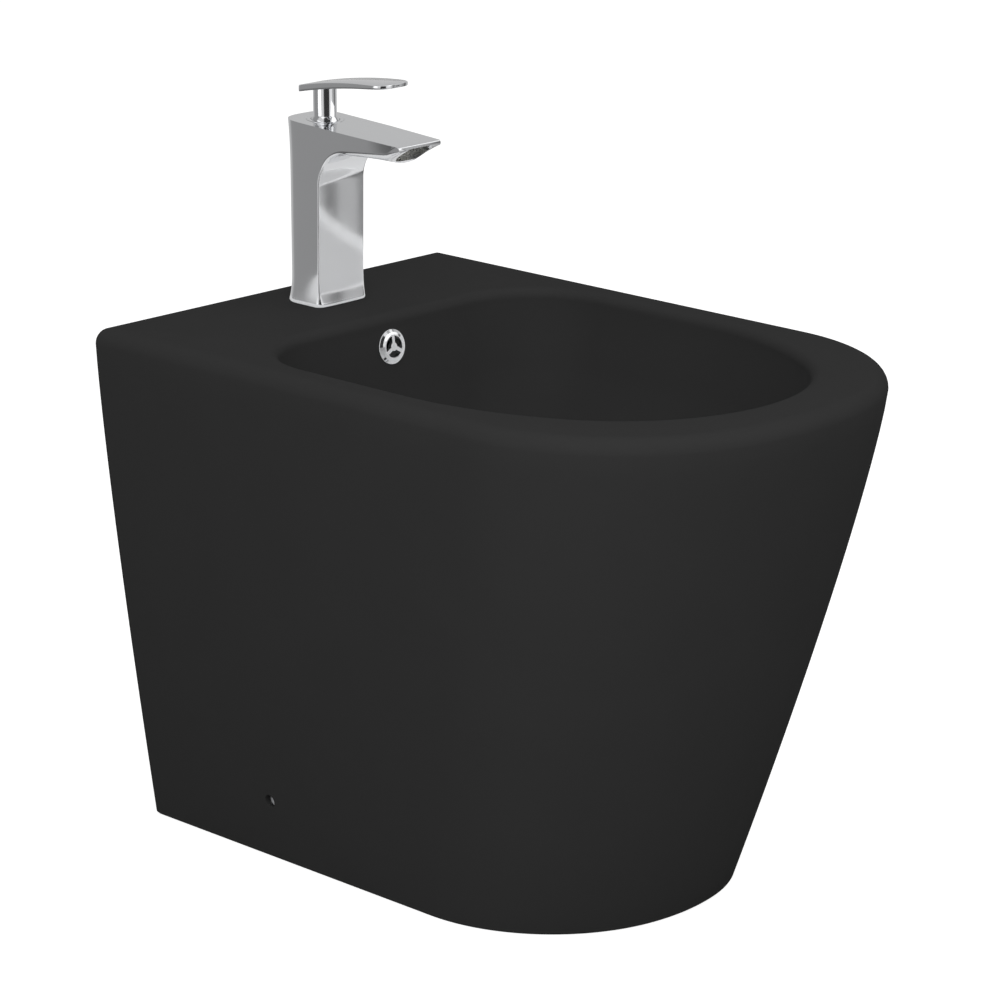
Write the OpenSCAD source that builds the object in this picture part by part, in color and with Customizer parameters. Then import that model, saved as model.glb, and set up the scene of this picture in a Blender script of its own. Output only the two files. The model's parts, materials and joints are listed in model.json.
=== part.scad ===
// Floor standing bidet with a single lever mixer tap.
// The wall is at +Y, the front of the bowl at -Y, and the origin lies on the floor
// under the middle of the body. All lengths are millimetres.

/* [Body] */
// Width of the body across the rim
body_w = 370; // [355:5:385]
// Depth of the body from the wall to the front of the rim
body_d = 550; // [540:5:570]
// Height of the rim above the floor
body_h = 400; // [390:5:420]
// Distance of the foot's side inside the rim's side
foot_inset = 48; // [42:1:52]
// Depth of the foot from the wall
foot_d = 438; // [430:2:450]
// Radius of the rim's front corners, seen from above
rim_corner_r = 156; // [146:2:160]
// Radius of the rim's front edge, seen from above
rim_front_r = 282; // [270:2:300]
// Radius of the foot's front corners, seen from above
foot_corner_r = 130; // [120:2:132]
// Radius of the foot's front edge, seen from above
foot_front_r = 165; // [160:5:190]
// Radius of the corners against the wall
rear_corner_r = 10; // [8:1:14]
// Rounding of the outer rim edge
rim_round = 12; // [8:1:14]
// Chamfer round the bottom of the foot
foot_chamfer = 1.5; // [1:0.5:3]
// Thickness of the outer wall
wall_t = 12; // [10:0.5:14]
// Thickness of the deck that carries the tap
deck_t = 16; // [14:1:18]

/* [Bowl] */
// Width of the rim beside the bowl
rim_w = 30; // [28:1:34]
// Width of the rim in front of the bowl
front_rim_w = 47; // [42:1:52]
// Distance from the wall to the bowl
deck_d = 132; // [128:1:138]
// Depth of the bowl
bowl_depth = 132; // [126:1:140]
// Thickness of the bowl's wall
bowl_t = 10; // [8:0.5:11]
// Rounding of the bowl's edge
bowl_round = 8; // [6:1:10]
// Radius of the bowl's corners near the deck
bowl_rear_r = 70; // [60:5:80]
// Radius of the bowl's long sides, seen from above
bowl_side_r = 260; // [250:5:280]
// Radius of the bowl's front, seen from above
bowl_front_r = 140; // [130:5:145]

/* [Openings in the ceramic] */
// Distance from the wall to the centre of the waste
waste_from_wall = 245; // [235:5:255]
// Radius of the waste hole
waste_hole_r = 23; // [22.5:0.5:24]
// Radius of the recess that the waste flange sits in
seat_r = 35; // [34:0.5:37]
// Depth of that recess
seat_drop = 3; // [2:0.5:4]
// Radius of the boss under the waste
boss_r = 40; // [38:1:42]
// Height of that boss, from the bottom of the bowl
boss_h = 40; // [38:1:44]
// Radius of the ring chamber that takes the overflow water
chamber_r = 30; // [28:1:32]
// Height of that chamber
chamber_h = 16; // [12:1:18]
// Depth of the overflow hole's centre below the rim
overflow_drop = 25; // [24:0.5:30]
// Radius of the overflow hole
overflow_hole_r = 11; // [10.5:0.5:11.5]
// Inner radius of the overflow duct
duct_r = 9; // [7:0.5:9]
// Wall of the overflow duct
duct_t = 5; // [4:0.5:6]
// Distance of the duct behind the bowl's face
duct_back = 19; // [18:1:22]
// Distance from the wall to the tap hole
tap_hole_from_wall = 61; // [57:1:65]
// Radius of the tap hole
tap_hole_r = 17.5; // [16.5:0.5:17.5]
// Width of the service opening in the back
service_w = 190; // [160:5:200]
// Height of the service opening
service_h = 300; // [280:5:310]
// Radius of the service opening's upper corners
service_r = 40; // [30:5:50]
// Height of the side fixing holes
side_hole_h = 49; // [44:1:54]
// Distance from the wall to the side fixing holes
side_hole_from_wall = 145; // [140:5:155]
// Radius of the side fixing holes
side_hole_r = 5; // [4.5:0.25:5.5]

/* [Tap body] */
// Distance of the neck axis in front of the tap hole's centre
neck_forward = 3; // [2.5:0.25:3.5]
// Half the width of the column
column_r = 24.2; // [24:0.1:25]
// Distance from the neck axis to the column's flat front, under the spout
column_front = 17.4; // [17:0.1:18]
// How far the front face draws back towards the foot
column_waist = 1.5; // [0.5:0.1:2]
// Distance from the tap hole's centre to the column's back
column_back = 19.8; // [19.5:0.1:20.5]
// Rounding of the column's front edges
column_edge_r = 2; // [1:0.5:3]
// Flare of the column's sides and back at its foot
foot_flare = 1.3; // [1:0.1:2]
// Flare of the column's front at its foot
front_flare = 2.7; // [2:0.1:3.5]
// Rounding of the foot's front corners
foot_edge_r = 11; // [9:0.5:12]
// Height of the flare
foot_flare_h = 25; // [20:1:30]
// Flare of the column's back at the top face
top_flare = 2.6; // [1:0.2:3]
// Height of the spout's top face above the deck, at the neck axis
spout_top_h = 141; // [138:1:146]
// Fall of the spout's top face towards its tip
spout_fall = 5.3; // [4:0.1:6]
// Reach of the spout from the neck axis
spout_reach = 101.5; // [99:0.5:106]
// Width of the spout at its tip
spout_tip_w = 44; // [42:1:46]
// Radius between the column's front and the spout's underside
spout_fillet_r = 28.5; // [26:0.5:30]
// Depth of the spout below its top face, at the fillet
spout_depth = 16.6; // [16.2:0.1:18]
// Depth of the spout's lowest line at the tip
spout_tip_depth = 16; // [15.5:0.25:17]
// Depth of the spout's sides at the tip
spout_side_depth = 10.3; // [9:0.1:12]
// Depth of the lip above the outlet
spout_lip = 4.4; // [4:0.1:4.6]
// How far the slanting face of the outlet leads back from the lip
spout_cut = 14.5; // [12:0.5:16]
// Width of the outlet
outlet_w = 30; // [28:1:31]
// Height of the outlet
outlet_h = 11.2; // [10.6:0.1:11.4]
// Depth of the outlet below the spout's top face at the neck axis
outlet_drop = 13.4; // [13.2:0.1:13.8]
// Length of the outlet, measured from the tip
outlet_l = 36; // [32:1:40]
// Radius of the water channel in the spout
channel_r = 2.75; // [2.5:0.25:3]
// Half the distance between the two supply inlets
inlet_x = 7.5; // [7:0.25:8]
// Radius of the threaded supply inlets
inlet_r = 4.6; // [4.2:0.1:4.8]
// Depth of the threaded supply inlets
inlet_l = 12; // [10:1:14]
// Radius of the fixing stud
stud_r = 4; // [3:0.5:4]
// Distance of the stud behind the tap hole's centre
stud_y = 11; // [10.5:0.25:11.5]

/* [Cartridge] */
// Outer radius of the cartridge
cartridge_r = 12.5; // [12:0.25:13]
// Wall of the cartridge
cartridge_t = 1.3; // [1.2:0.1:1.4]
// Depth of the lever's pivot below the spout's top face
pivot_drop = 3.5; // [3:0.25:4]
// Distance from the pivot to the spindle's lower ball
spindle_arm = 14; // [13.5:0.25:14]
// Radius of the spindle
spindle_r = 2.5; // [2.4:0.05:2.5]
// Radius of the moving disc
disc_r = 6.5; // [6:0.1:6.5]
// Thickness of the moving disc
disc_t = 3.5; // [3:0.25:3.5]
// Thickness of the fixed disc
fixed_disc_t = 4; // [3.5:0.25:4]
// Radius of the cartridge nut and of the collar
nut_r = 14.4; // [14:0.1:14.8]

/* [Lever] */
// Radius of the neck
neck_r = 9; // [8.5:0.25:9.5]
// Radius of the dome at the foot of the neck
dome_r = 11.5; // [11.25:0.05:11.6]
// Wall of the dome
dome_t = 2; // [1.6:0.1:2.1]
// Height of the lever's rear end above the spout's top face
lever_rise_h = 26.1; // [24:0.5:30]
// Distance from the neck axis to the lever's rear end
lever_back = 15; // [12:0.5:18]
// Length of the lever
lever_l = 97; // [90:1:105]
// Rise of the lever from its rear end to its tip
lever_rise = 10.7; // [8:0.1:13]
// Height of the lever's arch above its chord
lever_bow = 2.4; // [1:0.1:3]
// Thickness of the lever
lever_t = 4.4; // [4:0.2:6]
// Width of the lever at its rear end
lever_rear_w = 27; // [24:1:30]
// Width of the lever at the start of its round tip
lever_tip_w = 34; // [30:1:36]

/* [Waste] */
// Outer radius of the waste's tube
waste_r = 20.8; // [20.5:0.1:21]
// Wall of the waste's tube
waste_t = 2.5; // [2:0.1:3]
// Length of the waste's tube below the seat
waste_l = 78; // [76:1:84]
// Thickness of the waste's flange
flange_t = 3; // [2.5:0.25:3.5]
// Radius of the push plug
plug_r = 31; // [30:0.5:32]
// Travel of the push plug
plug_travel = 8; // [6:0.5:9]
// Height of the plug's dome
plug_dome_h = 3; // [2:0.5:4]

/* [Trap] */
// Radius of the trap's body
trap_r = 27; // [26:0.5:28]
// Length of the trap's cup
cup_l = 70; // [60:1:74]
// Radius of the pipes of the trap
pipe_r = 16; // [15.5:0.25:16.25]
// Wall of the pipes of the trap
pipe_t = 1.6; // [1.2:0.1:2]
// Distance from the wall to the end of the waste pipe
pipe_from_wall = 90; // [80:5:120]

/* [Floor brackets] */
// Width of a bracket
bracket_w = 35; // [30:1:40]
// Thickness of a bracket
bracket_t = 4; // [3:0.5:4]
// Height of a bracket
bracket_h = 68; // [62:1:75]
// Length of a bracket's foot
bracket_l = 44; // [38:1:50]
// Radius of the floor screw hole
floor_hole_r = 3.5; // [3:0.25:4]
// Radius of the side screws
screw_r = 3; // [2.5:0.25:3]

/* [Hidden] */

// Facets of a full circle
round_n = 64;
// Overrun of every cut
cut = 1;
// Clearance between two fixed round pieces
seat_gap = 0.1;
// Running clearance of a pin or stem in its hole
run_gap = 0.05;
// Clearance between pieces that move past each other
move_gap = 0.3;
// How far the edge of a seal or plate lies inside the face that it meets
edge_inset = 1;
// Sides of a nut
hex_n = 6;

// Colours as the photo shows them
black_glaze = [0.17, 0.17, 0.17];
chrome_grey = [0.78, 0.78, 0.79];
steel_grey = [0.6, 0.6, 0.62];
brass_yellow = [0.72, 0.6, 0.34];
rubber_black = [0.08, 0.08, 0.08];
nylon_white = [0.9, 0.9, 0.88];
disc_white = [0.95, 0.95, 0.93];

// Shape of the outer wall
side_power = 1.22;
front_power = 1.17;
outer_level_share = [1, 0.86, 0.72, 0.58, 0.44, 0.31, 0.19, 0.09, 0.03, 0];
// Levels of the bowl, as shares of a quarter turn from its edge to its bottom
bowl_level_share = [0, 0.022, 0.245, 0.367, 0.478, 0.578, 0.678, 0.778, 0.878, 1];
// Segments of the arcs of an outline
front_n = 3;
side_n = 11;
rear_n = 4;
round_steps = 3;
corner_limit_share = 0.98;

y_wall = body_d / 2;
y_waste = y_wall - waste_from_wall;
y_tap_hole = y_wall - tap_hole_from_wall;
y_tap = y_tap_hole - neck_forward;
z_bowl = body_h - bowl_depth;
z_seat = z_bowl - seat_drop;
z_under_deck = body_h - deck_t;

function lerp(a, b, t) = a + (b - a) * t;

// An outline seen from above, as half width, rear y, front y, and the radii of its
// rear corners, its sides and its front. It runs from the middle of the front to the
// right and round to the left.
function half_outline(q) =
    let (
        w = q[0],
        rf = q[5],
        rs = rf > q[4] ? min(q[4], w * corner_limit_share) : q[4],
        rr = q[3],
        dx = w - rs,
        dy = sqrt(pow(rf - rs, 2) - pow(dx, 2)),
        yc = q[2] + rf + (rf > rs ? -dy : dy),
        turn = atan2(dy, abs(dx))
    )
    concat(
        [for (i = [0:front_n]) let (a = -90 + (90 - turn) * i / front_n)
            [rf * cos(a), q[2] + rf + rf * sin(a)]],
        [for (i = [1:side_n]) let (a = turn * (i / side_n - 1))
            [dx + rs * cos(a), yc + rs * sin(a)]],
        [for (i = [0:rear_n]) let (a = 90 * i / rear_n)
            [w - rr + rr * cos(a), q[1] - rr + rr * sin(a)]]
    );

function outline(q) =
    let (half = half_outline(q))
    concat(half, [for (i = [len(half) - 1:-1:1]) [-half[i][0], half[i][1]]]);

function at_height(points, z) = [for (p = points) [p[0], p[1], z]];

// The same outline moved outwards by t all round
least_corner_r = 1;
function grown(q, t) =
    [q[0] + t, q[1] + t, q[2] - t, max(least_corner_r, q[3] + t), q[4] + t, q[5] + t];

// A nearly round outline, of the family that the bowl's outline belongs to
round_share = [0.97, 1.04, 0.98];
function round_outline(r, y) =
    [r, y + r, y - r, r * round_share[0], r * round_share[1], r * round_share[2]];

// The outer wall at a share of the way from the rim down to the foot
function wall_outline(t) = [
    body_w / 2 - foot_inset * pow(t, side_power),
    y_wall,
    y_wall - lerp(body_d, foot_d, pow(t, front_power)),
    rear_corner_r,
    lerp(rim_corner_r, foot_corner_r, t),
    lerp(rim_front_r, foot_front_r, t)
];
z_rim_low = body_h - rim_round;
function wall_z(t) = z_rim_low * (1 - t);
function wall_share(z) = 1 - z / z_rim_low;
function side_x(z) = wall_outline(wall_share(z))[0];

// The bowl at a share of the way from its edge to the waste
bowl_edge = [
    body_w / 2 - rim_w, y_wall - deck_d, y_wall - body_d + front_rim_w,
    bowl_rear_r, bowl_side_r, bowl_front_r
];
bowl_end = round_outline(seat_r, y_waste);
function bowl_turn(i) = 90 * bowl_level_share[i];
function bowl_outline(turn) = lerp(bowl_edge, bowl_end, 1 - cos(turn));
function bowl_z(turn) = body_h - bowl_round - (bowl_depth - bowl_round) * sin(turn);
bowl_n = len(bowl_level_share);

// Faces between rings of n points each, clockwise from outside
function ring_faces(m, n, closed) = [
    for (i = [0:m - (closed ? 1 : 2)], j = [0:n - 1])
        let (
            a = i * n + j,
            b = i * n + (j + 1) % n,
            c = ((i + 1) % m) * n + (j + 1) % n,
            d = ((i + 1) % m) * n + j
        )
        each (j < n / 2 ? [[a, d, c], [a, c, b]] : [[a, d, b], [d, c, b]])
];

// A solid that closes on itself, ring after ring
module ring_loop(rings) {
    n = len(rings[0]);
    polyhedron([for (r = rings) each r], ring_faces(len(rings), n, true), convexity = 8);
}

// A solid between a first and a last ring that are both flat
module ring_stack(rings) {
    n = len(rings[0]);
    m = len(rings);
    first = [[for (j = [0:n - 1]) j]];
    last = [[for (j = [n:-1:1]) (m - 1) * n + j % n]];
    polyhedron([for (r = rings) each r], concat(ring_faces(m, n, false), first, last),
        convexity = 8);
}

module tube(r_out, r_in, l) {
    difference() {
        cylinder(r = r_out, h = l, $fn = round_n);
        translate([0, 0, -cut]) cylinder(r = r_in, h = l + 2 * cut, $fn = round_n);
    }
}

// A rod along +Y from y0 to y1
module rod_y(r, y0, y1) {
    translate([0, y0, 0]) rotate([-90, 0, 0]) cylinder(r = r, h = y1 - y0, $fn = round_n);
}

// A rod along +X from x0 to x1
module rod_x(r, x0, x1) {
    translate([x0, 0, 0]) rotate([0, 90, 0]) cylinder(r = r, h = x1 - x0, $fn = round_n);
}

// Ceramic body

function outer_rings() = concat(
    [at_height(outline(grown(wall_outline(1), -foot_chamfer)), 0)],
    [at_height(outline(wall_outline(wall_share(foot_chamfer))), foot_chamfer)],
    [for (i = [1:len(outer_level_share) - 1])
        let (t = outer_level_share[i])
        at_height(outline(wall_outline(t)), wall_z(t))],
    [for (i = [1:round_steps])
        let (a = 90 * i / round_steps)
        at_height(outline(grown(wall_outline(0), -rim_round * (1 - cos(a)))),
            z_rim_low + rim_round * sin(a))]
);

function bowl_rings() = concat(
    [for (i = [0:round_steps - 1])
        let (a = 90 * i / round_steps)
        at_height(outline(grown(bowl_edge, bowl_round * (1 - sin(a)))),
            body_h - bowl_round * (1 - cos(a)))],
    [for (i = [0:bowl_n - 1])
        at_height(outline(bowl_outline(bowl_turn(i))), bowl_z(bowl_turn(i)))],
    [at_height(outline(bowl_end), z_seat)]
);

pilot_share = 0.8;
function waste_rings() = [
    at_height(outline(round_outline(waste_hole_r * pilot_share, y_waste)), z_seat),
    at_height(outline(round_outline(waste_hole_r * pilot_share, y_waste)), z_bowl - boss_h),
    at_height(outline(round_outline(boss_r, y_waste)), z_bowl - boss_h),
    at_height(outline(round_outline(boss_r + cut, y_waste)), z_bowl - bowl_t - cut)
];

// Turn of the bowl's profile at a height
function turn_at(z) = asin((body_h - bowl_round - z) / (bowl_depth - bowl_round));

function underside_rings() = concat(
    [for (i = [bowl_n - 2:-1:2])
        let (a = bowl_turn(i))
        at_height(outline(grown(bowl_outline(a), bowl_t * cos(a))), bowl_z(a) - bowl_t * sin(a))],
    [at_height(outline(grown(bowl_outline(turn_at(z_under_deck)), bowl_t)), z_under_deck)]
);

function inner_rings() = concat(
    [at_height(outline(grown(wall_outline(wall_share(z_under_deck)), -wall_t)), z_under_deck)],
    [for (i = [len(outer_level_share) - 3:-1:1])
        let (t = outer_level_share[i])
        at_height(outline(grown(wall_outline(t), -wall_t)), wall_z(t))],
    [at_height(outline(grown(wall_outline(1), -wall_t)), 0)]
);

// Place and slope of the overflow hole on the flat upper part of the bowl's back
slope_top = bowl_turn(1);
slope_low = bowl_turn(2);
overflow_z = body_h - overflow_drop;
function bowl_back_y(turn) = bowl_outline(turn)[1];
overflow_share = (bowl_z(slope_top) - overflow_z) / (bowl_z(slope_top) - bowl_z(slope_low));
overflow_y = lerp(bowl_back_y(slope_top), bowl_back_y(slope_low), overflow_share);
overflow_lean = atan2(bowl_back_y(slope_top) - bowl_back_y(slope_low),
    bowl_z(slope_top) - bowl_z(slope_low));
duct_y = overflow_y + duct_back;
chamber_z = z_bowl - boss_h / 2 - chamber_h / 2;
duct_low_z = chamber_z + chamber_h / 2;

// The overflow's own frame, with its axis pointing out of the wall into the bowl
module at_overflow() {
    translate([0, overflow_y, overflow_z]) rotate([90 - overflow_lean, 0, 0]) children();
}

// The cast duct from the overflow hole down to the chamber round the waste
module duct(r) {
    translate([0, duct_y, duct_low_z]) cylinder(r = r, h = overflow_z - duct_low_z, $fn = round_n);
    translate([0, duct_y, duct_low_z]) sphere(r = r, $fn = round_n);
    translate([0, 0, duct_low_z]) rod_y(r, y_waste + waste_hole_r, duct_y);
}

module service_cut() {
    translate([0, y_wall + cut, 0]) rotate([90, 0, 0])
        linear_extrude(wall_t + 2 * cut) {
            translate([-service_w / 2, -cut]) square([service_w, service_h - service_r + cut]);
            translate([service_r - service_w / 2, 0]) square([service_w - 2 * service_r, service_h]);
            for (side = [-1, 1])
                translate([side * (service_w / 2 - service_r), service_h - service_r])
                    circle(r = service_r, $fn = round_n);
        }
}

module ceramic_body() {
    color(black_glaze)
    difference() {
        union() {
            ring_loop(concat(outer_rings(), bowl_rings(), waste_rings(), underside_rings(),
                inner_rings()));
            translate([0, duct_y, overflow_z])
                cylinder(r = duct_r + duct_t, h = overflow_drop - deck_t / 2, $fn = round_n);
            duct(duct_r + duct_t);
        }
        duct(duct_r);
        at_overflow() translate([0, 0, -duct_back]) cylinder(r = overflow_hole_r,
            h = duct_back + bowl_t, $fn = round_n);
        translate([0, y_waste, z_bowl - boss_h - cut])
            cylinder(r = waste_hole_r, h = boss_h + cut, $fn = round_n);
        translate([0, y_waste, chamber_z]) cylinder(r = chamber_r, h = chamber_h, $fn = round_n);
        translate([0, y_tap_hole, z_under_deck - cut])
            cylinder(r = tap_hole_r, h = deck_t + 2 * cut, $fn = round_n);
        for (side = [-1, 1])
            translate([0, y_wall - side_hole_from_wall, side_hole_h])
                rotate([0, 90 * side, 0])
                    translate([0, 0, side_x(side_hole_h) - wall_t - bracket_t])
                        cylinder(r = side_hole_r, h = wall_t + 2 * bracket_t, $fn = round_n);
        service_cut();
    }
}

// Overflow ring
ring_flange_r = 13.3;
ring_flange_t = 1;
ring_face_r = 9.3;
ring_face_h = 3;
ring_crown_share = [0.5, 0.8];
ring_opening_r = 8.4;
ring_hub_r = 3.2;
ring_spoke_w = 2.8;
ring_sleeve_l = 9;
ring_sleeve_t = 1.4;

module ring_openings() {
    difference() {
        circle(r = ring_opening_r, $fn = round_n);
        circle(r = ring_hub_r, $fn = round_n);
        for (k = [0:2]) rotate(120 * k)
            translate([-ring_spoke_w / 2, 0]) square([ring_spoke_w, ring_flange_r]);
    }
}

module overflow_ring() {
    sleeve_r = overflow_hole_r - seat_gap;
    color(chrome_grey)
    at_overflow() difference() {
        rotate_extrude($fn = round_n) polygon([
            [0, -ring_sleeve_l], [sleeve_r, -ring_sleeve_l], [sleeve_r, move_gap],
            [ring_flange_r, move_gap], [ring_flange_r, ring_flange_t],
            [lerp(ring_flange_r, ring_face_r, ring_crown_share[0]),
                ring_face_h * ring_crown_share[1]],
            [ring_face_r, ring_face_h], [0, ring_face_h]
        ]);
        translate([0, 0, -ring_sleeve_l - cut])
            cylinder(r = sleeve_r - ring_sleeve_t, h = ring_sleeve_l + cut, $fn = round_n);
        translate([0, 0, -cut]) linear_extrude(ring_face_h + 2 * cut) ring_openings();
    }
}

// Tap body, in a frame on the deck with its origin on the neck axis

module at_tap() {
    translate([0, y_tap, body_h]) children();
}

across_n = 16;
fillet_n = 6;
spout_n = 4;
flare_n = 5;
spout_power = 2;
back_power = 3;
flare_power = 2.5;
top_power = 3;
rear_steps = fillet_n / 2;
z_pivot = spout_top_h - pivot_drop;
fillet_fall_share = 0.4;
z_fillet = spout_top_h - spout_depth - spout_fillet_r - spout_fall * fillet_fall_share;
y_fillet = -column_front - spout_fillet_r;
across = [for (i = [0:across_n]) -column_r * cos(180 * i / across_n)];

function top_z(y) = spout_top_h + spout_fall * y / spout_reach;

// The back of a section, which ends at a distance behind the tap hole's centre
function back_y(x, back) = neck_forward
    + back * pow(max(0, 1 - pow(abs(x) / column_r, back_power)), 1 / back_power);

// The front of a section, at a distance before the neck axis and with rounded corners
function front_y(x, front, edge_r) =
    let (over = abs(x) - column_r + edge_r)
    over <= 0 ? -front : edge_r - front - sqrt(pow(edge_r, 2) - pow(min(over, edge_r), 2));

// A section runs along its front edge from left to right and back along its rear edge
function section(front, rear) =
    concat(front, [for (i = [across_n:-1:0]) rear[i]]);

function column_section(z) =
    let (
        s = pow(max(0, 1 - z / foot_flare_h), flare_power),
        g = 1 + foot_flare * s / column_r,
        front = column_front - column_waist * (1 - z / z_fillet) + front_flare * s,
        edge_r = lerp(column_edge_r, foot_edge_r, s)
    )
    section(
        [for (x = across) [x * g, front_y(x, front, edge_r), z]],
        [for (x = across) [x * g, back_y(x, column_back + foot_flare * s), z]]
    );

function fillet_section(j) =
    let (
        a = 90 * j / fillet_n,
        up = min(1, j / rear_steps),
        ahead = max(0, j / rear_steps - 1),
        back = column_back + top_flare * pow(up, top_power)
    )
    section(
        [for (x = across)
            let (y = front_y(x, column_front, column_edge_r))
            [x, y - spout_fillet_r * (1 - cos(a)), z_fillet + spout_fillet_r * sin(a)]],
        [for (x = across)
            let (y = lerp(back_y(x, back), y_fillet, ahead))
            [x, y, lerp(z_fillet, top_z(y), up)]]
    );

// The tip: a blunt lip over the slanting face of the outlet
tip_step = 0.6;
lip_bow = 0.3;
z_tip = top_z(-spout_reach);
z_tip_low = z_tip - spout_tip_depth;
z_lip = z_tip - spout_lip;
z_fillet_top = z_fillet + spout_fillet_r;
tip_share = spout_tip_w / 2 / column_r;
function low_z(x, s) = lerp(
    z_fillet_top,
    lerp(z_tip_low, z_tip - spout_side_depth, pow(abs(x) / column_r, spout_power)),
    s
);

function spout_section(i) =
    let (
        s = i / spout_n,
        g = lerp(1, tip_share, s),
        y_low = lerp(y_fillet, spout_cut - spout_reach, s),
        y_top = lerp(y_fillet, 2 * tip_step - spout_reach, s)
    )
    section(
        [for (x = across) [x * g, y_low, low_z(x, s)]],
        [for (x = across) [x * g, y_top, top_z(y_top)]]
    );

function lip_section() = section(
    [for (x = across)
        [x * tip_share, -spout_reach, z_lip + tip_step - lip_bow * (1 - pow(x / column_r, 2))]],
    [for (x = across) [x * tip_share, -spout_reach, z_tip]]
);

module tap_form() {
    ring_stack(concat(
        [for (i = [0:flare_n]) column_section(foot_flare_h * i / flare_n)],
        [column_section(z_fillet)],
        [for (j = [1:fillet_n]) fillet_section(j)],
        [for (i = [1:spout_n]) spout_section(i)],
        [lip_section()]
    ));
}

z_outlet = spout_top_h - outlet_drop;

// The outlet's oval, seen along Y
module outlet_shape(grow) {
    r = outlet_h / 2 + grow;
    flat = outlet_w - outlet_h;
    translate([-flat / 2, -r]) square([flat, 2 * r]);
    for (side = [-1, 1]) translate([side * flat / 2, 0]) circle(r = r, $fn = round_n);
}

// The oval extruded along Y from y0 to y1
module outlet_solid(grow, y0, y1) {
    translate([0, y1, z_outlet]) rotate([90, 0, 0]) linear_extrude(y1 - y0) outlet_shape(grow);
}

// Heights of the cartridge's pieces below the pivot
rotor_flange_t = 2.8;
cap_t = 2.5;
cap_flange_t = 1;
cap_low = 8.1;
rotor_low = cap_low + rotor_flange_t + move_gap;
carrier_above = 2;
carrier_top = spindle_arm - carrier_above;
carrier_h = 8;
disc_top = carrier_top + carrier_h;
fixed_top = disc_top + disc_t + move_gap;
floor_top = fixed_top + fixed_disc_t + run_gap;
cartridge_floor_t = 3.5;
cartridge_low = floor_top + cartridge_floor_t;
cap_top = cap_low - cap_t;
nut_h = 3;
inner_r = cartridge_r - cartridge_t;
bore_r = cartridge_r + seat_gap;
groove_d = 1;
groove_r = bore_r + groove_d;
groove_h = 12;
z_cartridge = z_pivot - cartridge_low;
seal_t = 1;
port_x = 4.2;
port_y = -1;
port_r = 2;
inlet_y = -2;

// The two supply channels, from the inlets up to the cartridge
module feeds() {
    for (side = [-1, 1]) {
        translate([side * inlet_x, neck_forward + inlet_y, -cut])
            cylinder(r = inlet_r, h = inlet_l + cut, $fn = round_n);
        feed([side * inlet_x, neck_forward + inlet_y, inlet_l - cut],
            [side * port_x, port_y, z_cartridge + cut]);
    }
}

// A straight channel between two points
module feed(from, to) {
    d = to - from;
    l = norm(d);
    translate(from) rotate([0, acos(d[2] / l), atan2(d[1], d[0])])
        cylinder(r = port_r, h = l, $fn = round_n);
}

base_groove_r = 20;
base_groove_w = 2;
base_groove_d = 2;

module tap_body() {
    color(chrome_grey)
    at_tap() difference() {
        tap_form();
        translate([0, 0, z_cartridge]) cylinder(r = bore_r, h = cartridge_low + pivot_drop + spout_fall,
            $fn = round_n);
        translate([0, 0, z_pivot - cap_top - cap_flange_t - seat_gap - groove_h])
            cylinder(r = groove_r, h = groove_h, $fn = round_n);
        translate([0, 0, z_pivot - cap_top]) cylinder(r = nut_r + seat_gap,
            h = cap_top + pivot_drop + spout_fall, $fn = round_n);
        translate([0, 0, z_outlet]) rod_y(channel_r, cut - spout_reach, 0);
        outlet_solid(0, -spout_reach - cut, outlet_l - spout_reach);
        feeds();
        translate([0, neck_forward + stud_y, -cut])
            cylinder(r = stud_r + run_gap, h = stud_in + cut, $fn = round_n);
        translate([0, neck_forward, -cut])
            tube(base_groove_r + seat_gap, base_groove_r - base_groove_w - seat_gap, base_groove_d + cut);
    }
}

module tap_base_seal() {
    color(rubber_black)
    at_tap() translate([0, neck_forward, 0])
        tube(base_groove_r, base_groove_r - base_groove_w, base_groove_d - seat_gap);
}

// Fixing of the tap under the deck
stud_in = 14;
stud_out = 44;
gasket_r = 25;
gasket_t = 3;
plate_t = 2;
tap_nut_r = 7.5;
tap_nut_h = 9;
horseshoe_w = 26;
horseshoe_y = 4;

module tap_stud() {
    color(steel_grey)
    at_tap() translate([0, neck_forward + stud_y, -stud_out])
        cylinder(r = stud_r, h = stud_out + stud_in - move_gap, $fn = round_n);
}

module horseshoe(r, t) {
    linear_extrude(t) difference() {
        circle(r = r, $fn = round_n);
        translate([-horseshoe_w / 2, -r - cut]) square([horseshoe_w, r + cut + horseshoe_y]);
        translate([0, stud_y]) circle(r = stud_r + seat_gap, $fn = round_n);
    }
}

module tap_gasket() {
    color(rubber_black)
    at_tap() translate([0, neck_forward, -deck_t - gasket_t]) horseshoe(gasket_r, gasket_t);
}

module tap_plate() {
    color(steel_grey)
    at_tap() translate([0, neck_forward, -deck_t - gasket_t - plate_t])
        horseshoe(gasket_r - edge_inset, plate_t);
}

module tap_nut() {
    color(brass_yellow)
    at_tap() translate([0, neck_forward + stud_y, -deck_t - gasket_t - plate_t - tap_nut_h])
        difference() {
            cylinder(r = tap_nut_r, h = tap_nut_h, $fn = hex_n);
            translate([0, 0, -cut]) cylinder(r = stud_r + run_gap, h = tap_nut_h + 2 * cut,
                $fn = round_n);
        }
}

// Cartridge

module ports(h) {
    for (side = [-1, 1]) translate([side * port_x, port_y, -cut])
        cylinder(r = port_r, h = h + 2 * cut, $fn = round_n);
}

window_r = 2.4;

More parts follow.
